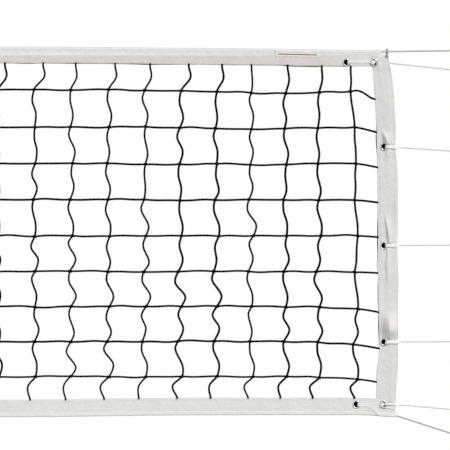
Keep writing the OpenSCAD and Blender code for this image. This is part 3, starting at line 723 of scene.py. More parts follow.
@dataclass(frozen=True)
class NetPlan:
    """Sizes and lines that the net's pieces share.

    Depths are below the net's top edge, insets are distances from the net's ends, and ease is how much
    wider than its line a fold's tunnel is.
    """

    half_len: float = 4.750
    top_z: float = 2.430
    height: float = 1.022
    tape_w: float = 0.046
    cable_r: float = 0.0025
    line_r: float = 0.002
    ease: float = 0.0003
    seam: float = 0.0125
    post_x: float = 5.050
    side_inset: float = 0.036
    side_depths: Triple = (0.269, 0.545, 0.814)
    top_eyelets: tuple[float, float] = (0.064, 0.141)
    low_eyelets: tuple[float, float] = (0.038, 0.113)
    top_eyelet_depth: float = 0.0345
    low_eyelet_depth: float = 0.9875

    def rise(self, x: float) -> float:
        """How far the top tape's middle stretch stands above its corners."""
        inset = self.half_len - abs(x)
        return 0.0064 * smooth(0.05, 1.0, inset) + 0.0020 * smooth(0.12, 0.35, inset) \
            + 0.0008 * smooth(0.8, 1.05, inset) + 0.0006 * drift(x * 1.7, 3)

    def lift(self, x: float) -> float:
        """How far the bottom tape is drawn up, away from its corners."""
        inset = self.half_len - abs(x)
        return -0.0015 + 0.0057 * smooth(0.0, 0.1, inset) - 0.0052 * smooth(0.55, 1.05, inset) \
            + 0.0006 * drift(x * 1.9, 8)

    def outer_x(self, depth: float) -> float:
        """The side tape's outer edge on the right.

        Args:
            depth: The distance below the net's top edge.

        Returns:
            The edge's distance from the net's middle.
        """
        high, middle, _ = self.side_depths
        pull = 0.0034 * smooth(0.0, 0.12, depth) - 0.0034 * smooth(0.87, 0.94, depth) \
            - 0.0030 * hump(high, 0.030, depth) - 0.0018 * hump(middle, 0.035, depth) \
            + 0.0014 * hump(0.38, 0.06, depth) + 0.0018 * hump(0.645, 0.03, depth)
        wave = 0.0007 * drift(depth * 7, 1.3) - 0.0032 * smooth(0.9, 0.99, depth)
        cut = 0.017 * (1 - smooth(0.0125, 0.0160, depth))
        return self.half_len - 0.027 * math.exp(-depth / 0.15) + pull + wave - cut

    def inner_x(self, depth: float) -> float:
        """The side tape's inner edge at a depth, on the right."""
        slack = -0.0028 * hump(0.6, 0.02, depth) + 0.003 * hump(0.8, 0.07, depth)
        return self.half_len - 0.0528 - 0.0222 * math.exp(-depth / 0.15) + slack \
            - 0.0055 * smooth(0.85, 0.91, depth) + 0.0006 * drift(depth * 9, 5.1)

    def spot(self, side: Side, inset: float, depth: float, y: float = 0.0) -> Triple:
        """The place at a distance from one of the net's ends and at a depth."""
        return (side.value * (self.half_len - inset), y, self.top_z - depth)

    def cable_z(self, x: float) -> float:
        """Height of the headline cable's middle along the net."""
        return self.top_z - 0.004 + self.rise(x)

    def line_z(self, x: float) -> float:
        """Height of the bottom line's middle along the net."""
        return self.top_z - self.height + 0.0035 + self.lift(x)


# --- Tapes ---


@dataclass
class FoldedTape:
    """A strip of coated cloth folded round a line, its two layers sewn together.

    Attributes:
        cloth: Its finish.
        width: Distance from the fold's middle to the cut edges.
        fold_r: Radius of the tunnel in the fold.
        seam: Distance from the fold's middle at which the tunnel closes, or 0 for no tunnel.
        steps: Steps across each layer.
        layer: Thickness of one layer.
        gap: Half the gap between the layers.
    """

    cloth: bpy.types.Material
    width: float
    fold_r: float
    seam: float
    steps: int = 18
    layer: float = 0.0012
    gap: float = 0.00006

    def offset(self, d: float) -> float:
        """How far a layer's middle stands off the tape's plane, at a distance from the fold's middle."""
        lean, round_r = self.layer / 2 + self.gap, self.fold_r + self.layer / 2
        if d <= 0:
            return math.sqrt(max(0.0, round_r * round_r - d * d))
        return round_r + (lean - round_r) * smooth(-0.15 * self.seam, self.seam, d) if self.seam else lean

    def section(self) -> list[tuple[float, float]]:
        """The folded strip seen from its end.

        Returns:
            Its outer face and then its inner one, as pairs of offset across and distance from the
            fold's middle.
        """
        round_r = self.fold_r + self.layer / 2
        across = [self.width * (1 - i / self.steps) for i in range(self.steps)]
        middle = [(-self.offset(d), d) for d in across]
        middle += [(-round_r * math.cos(math.radians(a)), -round_r * math.sin(math.radians(a)))
                   for a in range(0, 91, 18)]
        middle += [(-y, d) for y, d in reversed(middle[:-1])]
        outer, inner = [], []
        for i, (y, d) in enumerate(middle):
            before, after = middle[max(i - 1, 0)], middle[min(i + 1, len(middle) - 1)]
            run = Vector((after[0] - before[0], after[1] - before[1])).normalized()
            half = self.layer / 2
            outer.append((y + run.y * half, d - run.x * half))
            inner.append((y - run.y * half, d + run.x * half))
        return outer + inner[::-1]

    def strip(self, stations: Sequence[float], place: Callable[[float, float, float], Point]) -> Shell:
        """Sweeps the section along the tape.

        Args:
            stations: Places along the tape.
            place: Turns a station, an offset across and a distance from the fold into a point.

        Returns:
            The closed shell.
        """
        shell = Shell()
        loop = self.section()
        points = [place(s, y, d) for s in stations for y, d in loop]
        faces = []
        count = len(loop)
        for i in range(len(stations) - 1):
            a, b = i * count, (i + 1) * count
            for k in range(count):
                n = (k + 1) % count
                # Both layers are split along the same line, so that they can't cut each other.
                if loop[k][1] > loop[n][1]:
                    faces += [(a + k, a + n, b + n), (a + k, b + n, b + k)]
                else:
                    faces += [(a + k, a + n, b + k), (a + n, b + n, b + k)]
        half = count // 2
        last = (len(stations) - 1) * count
        for k in range(half - 1):
            faces.append((k + 1, k, count - 1 - k, count - 2 - k))
            faces.append((last + k, last + k + 1, last + count - 2 - k, last + count - 1 - k))
        shell.add(points, faces)
        return shell


def punch(thing: bpy.types.Object, holes: Sequence[Point], radius: float) -> None:
    """Cuts round holes through a tape, along Y.

    Args:
        thing: The tape.
        holes: Middle of each hole.
        radius: Radius of each hole.
    """
    cutter, reach = Shell(), 0.03
    for hole in holes:
        ring = [(hole[0] + radius * math.cos(math.radians(a)), hole[2] + radius * math.sin(math.radians(a)))
                for a in range(0, 360, 15)]
        count = len(ring)
        points = [(x, -reach, z) for x, z in ring] + [(x, reach, z) for x, z in ring]
        faces = [tuple(range(count)), tuple(range(2 * count - 1, count - 1, -1))]
        faces += [((k + 1) % count, k, count + k, count + (k + 1) % count) for k in range(count)]
        cutter.add(points, faces)
    mesh = cutter.mesh("punch")
    tool = show("punch", mesh)
    step = thing.modifiers.new("punch", "BOOLEAN")
    step.operation = "DIFFERENCE"
    step.solver = "EXACT"
    step.object = tool
    graph = bpy.context.evaluated_depsgraph_get()
    cut = bpy.data.meshes.new_from_object(thing.evaluated_get(graph))
    thing.modifiers.remove(step)
    whole, name = thing.data, thing.data.name
    thing.data = cut
    bpy.data.objects.remove(tool)
    for used in (whole, mesh):
        bpy.data.meshes.remove(used)
    cut.name = name


@dataclass(frozen=True)
class Pleat:
    """A pleat that a rope draws into a side tape, away from one of its eyelets.

    Attributes:
        eyelet: The eyelet's number from the top.
        up: 1 for a pleat above the eyelet and -1 for one below it.
        reach: Its length.
        inset: Its distance from the tape's outer edge beside the eyelet.
        lean: How fast it moves in from that edge along its length.
        rise: Its height.
        flank: Width of its steep side.
    """

    eyelet: int
    up: int
    reach: float
    inset: float
    lean: float
    rise: float
    flank: float


@dataclass(frozen=True)
class Label:
    """Sizes of the blank label and of the line of thread on it.

    Depths are below the fold's middle, and off and line_off are distances from the middle of the
    tape's front layer. Within its hem the label is thicker, by puff. The line's start and reach are
    shares of the label's length.
    """

    inset: float = 0.215
    length: float = 0.125
    top: float = -0.0005
    height: float = 0.0185
    across: int = 40
    down: int = 8
    off: float = 0.0006
    thick: float = 0.0003
    puff: float = 0.00025
    line_depth: float = 0.0108
    line_fall: float = 0.0004
    line_off: float = 0.0013
    line_r: float = 0.0014
    line_start: float = 0.07
    line_reach: float = 0.88


@dataclass
class Tapes:
    """The net's four tapes with their stitching, and the blank label.

    Each layer of the top and the bottom tape is a little shorter, from the fold's middle on, than the
    tape is high. Their first row of stitches closes the fold's tunnel, and the second one is the hem.
    The side tapes are folded at their outer edge, and their rows are measured from there.
    """

    plan: NetPlan
    wardrobe: Wardrobe
    hole_r: float = 0.0078
    top_short: float = 0.004
    low_short: float = 0.0007
    low_seam: float = 0.011
    hem: float = 0.0385
    stitch_pitch: float = 0.0055
    stitch_lift: float = 0.00135
    side_lift: float = 0.0014
    thread_r: float = 0.0004
    side_w: float = 0.054
    side_fold_r: float = 0.0001
    side_top: float = 0.0145
    side_low: float = 0.040
    side_rows: tuple[float, float] = (0.0165, 0.0495)
    pleats: tuple[Pleat, ...] = (Pleat(0, 1, 0.034, 0.0195, 0.30, 0.0125, 0.0120),
                                 Pleat(0, -1, 0.026, 0.0215, 0.10, 0.0030, 0.0070),
                                 Pleat(1, 1, 0.072, 0.0195, 0.15, 0.0075, 0.0065),
                                 Pleat(1, -1, 0.100, 0.0255, 0.02, 0.0040, 0.0075),
                                 Pleat(2, 1, 0.034, 0.0200, 0.12, 0.0035, 0.0050))
    pouch: float = 0.0215
    label: Label = Label()

    def ripple(self, x: float, z: float) -> float:
        """How far the tapes bulge out of their plane."""
        return 0.0011 * drift(x * 9, z * 6, 2.0) + 0.0005 * drift(x * 31, z * 23, 4.0)

    def top_wave(self, x: float) -> float:
        """How the top tape's sewn edge wanders."""
        return 0.0009 * drift(x * 14, 7.7) + 0.0006 * drift(x * 37, 1.1)

    def drawn_in(self, s: float, z: float) -> float:
        """X of a place along a tape, drawn in towards its end to meet the net's outer edge."""
        short = self.plan.half_len - self.plan.outer_x(self.plan.top_z - z) + 0.0004
        return s - math.copysign(short * math.exp((abs(s) - self.plan.half_len) / 0.08), s)

    def across_top(self, s: float, y: float, d: float) -> Point:
        """A point of the top tape: s is X, y the offset and d the distance below the fold."""
        plan = self.plan
        share = max(0.0, d) / plan.tape_w
        z = plan.cable_z(s) - d - share * self.top_wave(s)
        return (self.drawn_in(s, z), y + self.ripple(s, z) * share, z)

    def across_bottom(self, s: float, y: float, d: float) -> Point:
        """A point of the bottom tape, whose fold is below and whose cut edges are above."""
        plan = self.plan
        share = max(0.0, d) / plan.tape_w
        z = plan.line_z(s) + d + share * 0.8 * self.top_wave(s + 40)
        return (self.drawn_in(s, z), y + self.ripple(s + 20, z) * share - self.crease(s, z), z)

    def crease(self, x: float, z: float) -> float:
        """How far the bottom tape bulges along the slanting crease at each lower corner."""
        inset, depth = self.plan.half_len - abs(x) - 0.061, self.plan.top_z - z - 1.008
        off, along = 0.64 * inset + 0.77 * depth, 0.64 * depth - 0.77 * inset
        return 0.0046 * (1 - smooth(-0.0015, 0.0028, off)) * math.exp(min(0.0, off) / 0.007) \
            * hump(0, 0.0135, along)

    def side_fold(self, across: float, depth: float) -> float:
        """How far the right side tape bulges towards -Y.

        Above and below the eyelets the rope draws the cloth into pleats, steep towards the net. Above
        the lowest one the whole outer side of the tape pouches forward.

        Args:
            across: Distance from the outer edge.
            depth: Distance below the net's top.

        Returns:
            The bulge in metres.
        """
        bulge = 0.0012 * drift(depth * 10, across * 40, 9.0) + 0.0015 * drift(across * 60, depth * 3.1, 2.0)
        for pleat in self.pleats:
            above, reach = (self.plan.side_depths[pleat.eyelet] - depth) * pleat.up, pleat.reach
            if 0 < above < 1.5 * reach:
                off = across - pleat.inset - pleat.lean * above
                strength = smooth(0.001, 0.011, above) * (1 - smooth(0.6 * reach, 1.4 * reach, above))
                bulge += pleat.rise * strength * (1 - smooth(0.0, pleat.flank, off)) \
                    * math.exp(min(0.0, off) / 0.010)
        edge = smooth(0.0, 0.008, across) * (1 - 0.85 * smooth(0.046, 0.054, across))
        above = self.plan.side_depths[2] - depth
        pouch = smooth(0.006, 0.036, above) * (1 - smooth(0.036, 0.092, above))
        pouch *= (0.45 + 0.55 * smooth(0.0, 0.024, across)) * (1 - smooth(0.024, 0.050, across))
        return bulge * edge + self.pouch * pouch

    def across_side(self, side: Side, s: float, y: float, d: float) -> Point:
        """A point of a side tape.

        At the top its two layers lie outside the top tape's, and its cut edges are pressed into that.

        Args:
            side: Which end of the net.
            s: The depth.
            y: The offset from the tape's plane.
            d: The distance in from the fold.

        Returns:
            The point.
        """
        plan = self.plan
        stand_off = 0.00135 * (1 - smooth(0.047, 0.060, s)) * (1 - 0.9 * smooth(0.047, 0.0535, d))
        y += stand_off * max(-1.0, min(1.0, y / 0.00005))
        outer, inner = plan.outer_x(s), plan.inner_x(s)
        share = (d + 0.0007) / 0.0547
        x = outer - 0.0007 + (inner - outer + 0.0007) * share
        return (side.value * x, y - self.side_fold(d, s), plan.top_z - s)

    def seam(self, shell: Shell, path: Callable[[float], Point], start: float, end: float,
             lift: float) -> None:
        """Adds a row of stitches.

        Args:
            shell: Where they are added.
            path: The point on the cloth at a place along the seam.
            start: Where the row starts.
            end: Where it ends.
            lift: How far a stitch stands off the cloth's middle, towards -Y.
        """
        count = int(abs(end - start) / self.stitch_pitch)
        for i in range(count):
            a = start + (end - start) * (i + 0.14) / count
            b = start + (end - start) * (i + 0.86) / count
            line = [Vector(path(a + (b - a) * k / 2)) for k in range(3)]
            for spot, dip in zip(line, (0.55, 1.05, 0.55)):
                spot.y -= lift * dip
            shell.tube(line, self.thread_r, 4)

    def stitched(self, tape: str, seams: Shell) -> bpy.types.Object:
        """Makes a tape's stitching of its rows."""
        return seams.piece(f"{tape}_stitching", self.wardrobe["white_thread"], Body.MASTS, "tape_fabric")

    def stations(self) -> list[float]:
        """Places along the net, closer together near its ends."""
        half, fine = self.plan.half_len, 1.2
        near = [half - fine * i / 240 for i in range(240)]
        middle = [(half - fine) * (1 - 2 * i / 420) for i in range(421)]
        return sorted(near + middle + [-x for x in near])

    def build(self) -> None:
        """Makes the tapes, their seams and the label."""
        self.top()
        self.bottom()
        for side in Side:
            self.side(side)
        self.label_patch()
        self.label_line()

    def long_tape(self, name: str, tape: FoldedTape, place: Callable[[float, float, float], Point],
                  eyelets: Sequence[float], depth: float) -> tuple[bpy.types.Object, bpy.types.Object]:
        """The top or the bottom tape.

        Args:
            name: The tape's node.
            tape: Its strip.
            place: Turns a place along it, an offset across and a distance from the fold into a point.
            eyelets: Distances of its eyelets from the net's ends.
            depth: Their depth.

        Returns:
            The cloth and its stitching.
        """
        plan = self.plan
        shell = tape.strip(self.stations(), place)
        cloth = shell.piece(f"{name}_cloth", tape.cloth, Body.MASTS, "tape_fabric", [name])
        punch(cloth, [plan.spot(side, inset, depth) for side in Side for inset in eyelets], self.hole_r)
        seams, end = Shell(), plan.half_len - 0.01
        for row in (tape.seam, self.hem):
            for lift in (self.stitch_lift, -self.stitch_lift):
                self.seam(seams, lambda s, d=row: place(s, 0, d), -end, end, lift)
        return cloth, self.stitched(name, seams)

    def top(self) -> None:
        """The top tape, folded round the headline cable."""
        plan = self.plan
        tape = FoldedTape(self.wardrobe["banded_cloth"], plan.tape_w - self.top_short,
                          plan.cable_r + plan.ease, plan.seam)
        piece, stitches = self.long_tape("top_tape", tape, self.across_top, plan.top_eyelets,
                                         plan.top_eyelet_depth)

    def bottom(self) -> None:
        """The bottom tape, folded round the bottom line."""
        plan = self.plan
        tape = FoldedTape(self.wardrobe["coated_cloth"], plan.tape_w - self.low_short,
                          plan.line_r + plan.ease, self.low_seam)
        piece, stitches = self.long_tape("bottom_tape", tape, self.across_bottom, plan.low_eyelets,
                                         plan.low_eyelet_depth)

    def side(self, side: Side) -> None:
        """A side tape, folded at its outer edge.

        Args:
            side: Which end of the net.
        """
        plan = self.plan
        tape = FoldedTape(self.wardrobe["side_cloth"], self.side_w, self.side_fold_r, 0.0, 30)
        top, low, steps = self.side_top, plan.height - self.side_low, 390
        stations = [top + (low - top) * i / steps for i in range(steps + 1)]
        shell = tape.strip(stations, lambda s, y, d: self.across_side(side, s, y, d))
        if side is Side.LEFT:
            shell.faces = [face[::-1] for face in shell.faces]
        node = f"side_tape_{side.word}"
        piece = shell.piece(f"{node}_cloth", tape.cloth, Body.MASTS, "tape_fabric", [node])
        holes = [(plan.side_inset, depth) for depth in plan.side_depths]
        holes.append((plan.top_eyelets[0], plan.top_eyelet_depth))
        punch(piece, [plan.spot(side, inset, depth) for inset, depth in holes], self.hole_r)
        seams = Shell()
        for inset in self.side_rows:
            for lift in (self.side_lift, -self.side_lift):
                self.seam(seams, lambda s, d=inset, y=lift: self.across_side(side, s, 0.1 * y, d),
                          top + 0.005, low - 0.01, lift)
        stitches = self.stitched(node, seams)

    def on_top_tape(self, share: float, d: float, off: float) -> Vector:
        """A point in front of the top tape's cloth.

        Args:
            share: Place along the label, 0 at its left edge and 1 at its right one.
            d: Distance below the fold's middle.
            off: Distance from the middle of the cloth's front layer.

        Returns:
            The point.
        """
        plan, label = self.plan, self.label
        fold = FoldedTape(self.wardrobe["label_cloth"], plan.tape_w, plan.cable_r + plan.ease, plan.seam)
        place = Vector(self.across_top(plan.half_len - label.inset - label.length * (1 - share), 0, d))
        place.y -= fold.offset(d) + off
        return place

    def label_patch(self) -> None:
        """The blank label on the top tape, with a hem round it."""
        label = self.label
        across, down = label.across, label.down
        shell = Shell()
        points = []
        for layer in (0.0, 1.0):
            for i in range(across + 1):
                for k in range(down + 1):
                    rim = min(i, across - i) / 2, min(k, down - k) / 2
                    thick = label.puff * min(1.0, min(rim)) + label.thick
                    points.append(self.on_top_tape(i / across, label.top + label.height * k / down,
                                                   label.off + thick * layer))
        row = down + 1
        size = (across + 1) * row
        faces = []
        for layer in range(2):
            for i in range(across):
                for k in range(down):
                    a = layer * size + i * row + k
                    faces.append((a, a + row, a + row + 1, a + 1))
        rim_path = [i * row for i in range(across + 1)] + [across * row + k for k in range(1, row)] \
            + [i * row + down for i in range(across - 1, -1, -1)] + [k for k in range(down - 1, 0, -1)]
        for i, a in enumerate(rim_path):
            b = rim_path[(i + 1) % len(rim_path)]
            faces.append((a, b, size + b, size + a))
        shell.add(points, faces)
        shell.piece("label_cloth", self.wardrobe["label_cloth"], Body.MASTS, "label_fabric", ["label_patch"])

    def label_line(self) -> None:
        """The rust-brown line of thread on the label."""
        label, steps = self.label, 59
        path = []
        for i in range(steps + 1):
            path.append(self.on_top_tape(label.line_start + label.line_reach * i / steps,
                                         label.line_depth + label.line_fall * i / steps, label.line_off))
        line = Shell()
        line.tube(path, label.line_r, 8, flat=0.4)
        line.piece("label_line", self.wardrobe["rust_thread"], Body.MASTS, "label_fabric")


# --- Mesh ---


@dataclass
class Mesh:
    """The knotted mesh: upright twines, level twines behind them, knots and the edge twine.

    A knot strays a little from its place, along X and Z. An upright twine swings to the left and then
    to the right in each mesh, by a random distance between the two that are given.
    """

    plan: NetPlan
    wardrobe: Wardrobe
    columns: int = 95
    rows: int = 9
    opening: float = 0.1
    twine_r: float = 0.0031
    edge_r: tuple[float, float] = (0.0013, 0.0012)
    first_inset: float = 0.129
    first_depth: float = 0.1115
    stray: tuple[float, float] = (0.0035, 0.0016)
    front: float = 0.0016
    left_swing: tuple[float, float] = (0.0015, 0.0115)
    right_swing: tuple[float, float] = (0.0035, 0.0145)
    drops: tuple[float, ...] = (0.022, 0.015, 0.011, 0.007, 0.004, 0.007, 0.014, 0.016, 0.012)

    def __post_init__(self) -> None:
        """Settles every knot's place."""
        dice = random.Random(41)
        aside, high = self.stray
        pitch = (2 * self.plan.half_len - 2 * self.first_inset) / (self.columns - 1)
        self.knots: list[list[Vector]] = []
        for i in range(self.columns):
            near = min(i, self.columns - 1 - i)
            side = 1 if i <= (self.columns - 1) / 2 else -1
            draw = 0.018 * math.sin(math.pi * (near / 10) ** 0.75) if near < 10 else 0.0
            x = side * (self.plan.half_len - self.first_inset - near * pitch + draw)
            column = []
            weave = 0.0034 * (1 - smooth(4.5, 8, near)) + 0.0012
            for r in range(self.rows):
                depth = self.first_depth + self.opening * r + 0.0068 * math.sin(math.pi * r / 7.6)
                depth += 0.0105 * hump(2.4, 2.3, near) * (1 - smooth(-0.5, 3.0, r))
                if r >= 5:
                    depth += 0.0065 * hump(0, 1.0, near) * smooth(4, 6.5, r)
                zig = side * weave * (1 if r % 2 == 0 else -1) * smooth(1.5, 4, r)
                if near == 0:
                    zig += side * 0.0135 * smooth(0, 1, r)
                column.append(Vector((x + zig + dice.uniform(-aside, aside), 0,
                                      self.plan.top_z - depth + dice.uniform(-high, high))))
            self.knots.append(column)

    def weave(self, marks: Sequence[Triple], upper: Vector, lower: Vector,
              steps: int) -> list[Vector]:
        """A smooth way through marks beside the straight line between two points.

        Args:
            marks: Triples of share of the way, offset along X and slope there.
            upper: Where the way starts.
            lower: Where it ends.
            steps: Points on the way.

        Returns:
            The points after the first, the last one included.
        """
        path = []
        for k in range(1, steps + 1):
            t = k / steps
            a, b = next((m, n) for m, n in zip(marks, marks[1:]) if t <= n[0] + 1e-9)
            span = b[0] - a[0]
            u = (t - a[0]) / span
            swing = (2 * u ** 3 - 3 * u ** 2 + 1) * a[1] + (u ** 3 - 2 * u ** 2 + u) * span * a[2] \
                + (3 * u ** 2 - 2 * u ** 3) * b[1] + (u ** 3 - u ** 2) * span * b[2]
            place = upper.lerp(lower, t)
            place.x += swing
            place.y = -self.front - 0.0008 * math.sin(math.pi * t)
            path.append(place)
        return path

    def upright(self, column: Sequence[Vector], near: int, dice: random.Random) -> list[Vector]:
        """One upright twine's way: it swings to one side and back in each mesh.

        Args:
            column: Its knots, from the top.
            near: Its number from the nearer end of the net.
            dice: The random numbers.

        Returns:
            The points.
        """
        plan = self.plan
        calm = (0.25, 0.75)[near] if near < 2 else 1.0
        swings = []
        for row in range(self.rows - 1):
            slack = 0.6 * smooth(4, 7, row) if near == 0 else 0.0
            strong = (calm + slack) * (0.62 + 0.45 * smooth(0.5, 5.5, row))
            swings.append((dice.uniform(*self.left_swing) * strong, dice.uniform(*self.right_swing) * strong))
        slopes = [-(4.0 * (swings[max(r - 1, 0)][1] + swings[min(r, self.rows - 2)][0])) / 1.6
                  for r in range(self.rows)]
        first, last = column[0], column[-1]
        shift = dice.uniform(-0.001, 0.010) if near < 4 else dice.uniform(0.012, 0.027)
        shift *= 0.1 if near == 0 else 1.0
        start = Vector((first.x + shift, -self.front, plan.cable_z(first.x) - plan.tape_w + 0.006))
        belly = 0.5 * shift + dice.uniform(0.001, 0.005) * calm
        path = [start] + self.weave([(0, 0, 0), (0.5, belly, 0.006), (1, 0, slopes[0] * 0.8 + shift)],
                                    start, first, 12)
        for r, (left, right) in enumerate(swings):
            rise, fall = dice.uniform(0.19, 0.30), dice.uniform(0.64, 0.76)
            path += self.weave([(0, 0, slopes[r]), (rise, -left, 0), (fall, right, 0), (1, 0, slopes[r + 1])],
                               column[r], column[r + 1], 15)
        swing, settle_x = dice.uniform(0.020, 0.029), dice.uniform(0.012, 0.021)
        settle_x *= 0.6 if near == 0 else 1.0
        end = Vector((last.x - settle_x, -self.front, plan.line_z(last.x) + plan.tape_w - 0.0028))
        path += self.weave([(0, 0, slopes[-1]), (0.42, -(swing - 0.42 * settle_x), 0), (1, 0, 0.03)],
                           last, end, 12)
        return path

    def uprights(self) -> Shell:
        """Every upright twine, from the top tape to the bottom tape."""
        shell = Shell()
        dice = random.Random(7)
        for i, column in enumerate(self.knots):
            near = min(i, self.columns - 1 - i)
            path = self.upright(column, near, dice)
            shell.tube(path, self.twine_r * dice.uniform(0.88, 1.035), 6)
        return shell

    def levels(self) -> Shell:
        """Every level twine, from side tape to side tape."""
        shell = Shell()
        dice = random.Random(19)
        for r in range(self.rows):
            path = self.level_end(r, self.knots[-1][r], Side.LEFT)[::-1]
            for i in range(self.columns - 1, 0, -1):
                a, b = self.knots[i][r], self.knots[i - 1][r]
                up, wave = dice.uniform(-0.0016, 0.0022), dice.uniform(-0.0014, 0.0014)
                for k in range(1, 9):
                    t = k / 8
                    place = a.lerp(b, t)
                    place.z += up * math.sin(math.pi * t) + wave * math.sin(2 * math.pi * t)
                    place.y = self.front
                    path.append(place)
            path += self.level_end(r, self.knots[0][r], Side.RIGHT)[1:]
            shell.tube(path, self.twine_r * dice.uniform(0.87, 1.0), 6)
        return shell

    def level_end(self, row: int, knot: Vector, side: Side) -> list[Vector]:
        """A level twine's way from its last knot into the side tape.

        Args:
            row: The twine's row, from the top.
            knot: Its last knot.
            side: The end of the net.

        Returns:
            The points, the knot first.
        """
        drop = self.drops[row]
        end_z = knot.z - drop + (0.0045 if row >= 5 else 0.0)
        end_x = side.value * (self.plan.inner_x(self.plan.top_z - end_z) + 0.0025)
        path = []
        for k in range(11):
            t = k / 10
            if row == 0:
                bow = 0.0042 * math.sin(math.pi * min(1.0, t * 1.25))
                fall = smooth(0.15, 1.1, t) / smooth(0.15, 1.1, 1.0)
            else:
                bow = 0.0004 * math.sin(math.pi * t)
                fall = t ** 1.15
            path.append(Vector((knot.x + (end_x - knot.x) * t, self.front * (1 - t),
                                knot.z + (end_z - knot.z) * fall + bow)))
        return path

    def knot_shell(self) -> Shell:
        """A wrapped knot at each crossing."""
        shell = Shell()
        dice = random.Random(3)
        r = self.twine_r
        for column in self.knots:
            for place in column:
                tilt = dice.uniform(-0.5, 0.5)
                wrap = []
                for k in range(13):
                    t = 2 * math.pi * k / 12 * 1.5
                    wrap.append(Vector((place.x + math.cos(t) * r * 0.95 + (k / 12 - 0.5) * r * 1.5 * tilt,
                                        place.y + math.sin(t) * r * 1.5,
                                        place.z + (k / 12 - 0.5) * r * 1.7)))
                shell.tube(wrap, r * 0.72, 5)
        return shell

    def edge_twine(self) -> Shell:
        """The twine along the mesh's rim, behind the tapes' sewn edges, where it peeps out in places."""
        plan, shell = self.plan, Shell()
        path = []
        steps = 900
        for i in range(steps + 1):
            x = -plan.half_len + 0.06 + (2 * plan.half_len - 0.12) * i / steps
            peep = 0.0022 * smooth(0.12, 0.4, drift(x * 2.3, 11.0)) \
                + 0.0014 * smooth(0.1, 0.5, drift(x * 9, 2.0))
            inset = plan.half_len - x
            peep = max(peep, 0.0024 * smooth(0.205, 0.222, inset) * (1 - smooth(0.3, 0.325, inset)))
            peep *= smooth(0.130, 0.145, inset)
            path.append((x, 0.0015, plan.cable_z(x) - plan.tape_w + 0.0046 - peep
                         + 0.0010 * (1 - smooth(0.130, 0.145, inset))))
        shell.tube(path, self.edge_r[0], 6)
        for side in Side:
            path = []
            for i in range(241):
                depth = 0.05 + (plan.height - 0.1) * i / 240
                peep = 0.0026 * max(hump(0.250, 0.034, depth), hump(0.520, 0.06, depth),
                                    hump(0.775, 0.04, depth), 0.55 * hump(0.690, 0.05, depth)) \
                    + 0.0003 * drift(depth * 6, 4.2)
                path.append((side.value * (plan.inner_x(depth) + 0.0014 - peep), 0.0012, plan.top_z - depth))
            shell.tube(path, self.edge_r[1], 6)
        return shell

    def build(self) -> None:
        """Makes the mesh's pieces."""
        black = self.wardrobe["black_twine"]
        self.uprights().piece("upright_twines", black, Body.MASTS, "net_twine", ["net_uprights"])
        self.levels().piece("level_twines", black, Body.MASTS, "net_twine", ["net_levels"])
        self.knot_shell().piece("twine_knots", black, Body.MASTS, "net_twine")
        self.edge_twine().piece("edge_twine", black, Body.MASTS, "net_twine")


# --- Eyelets, lashings and clips ---


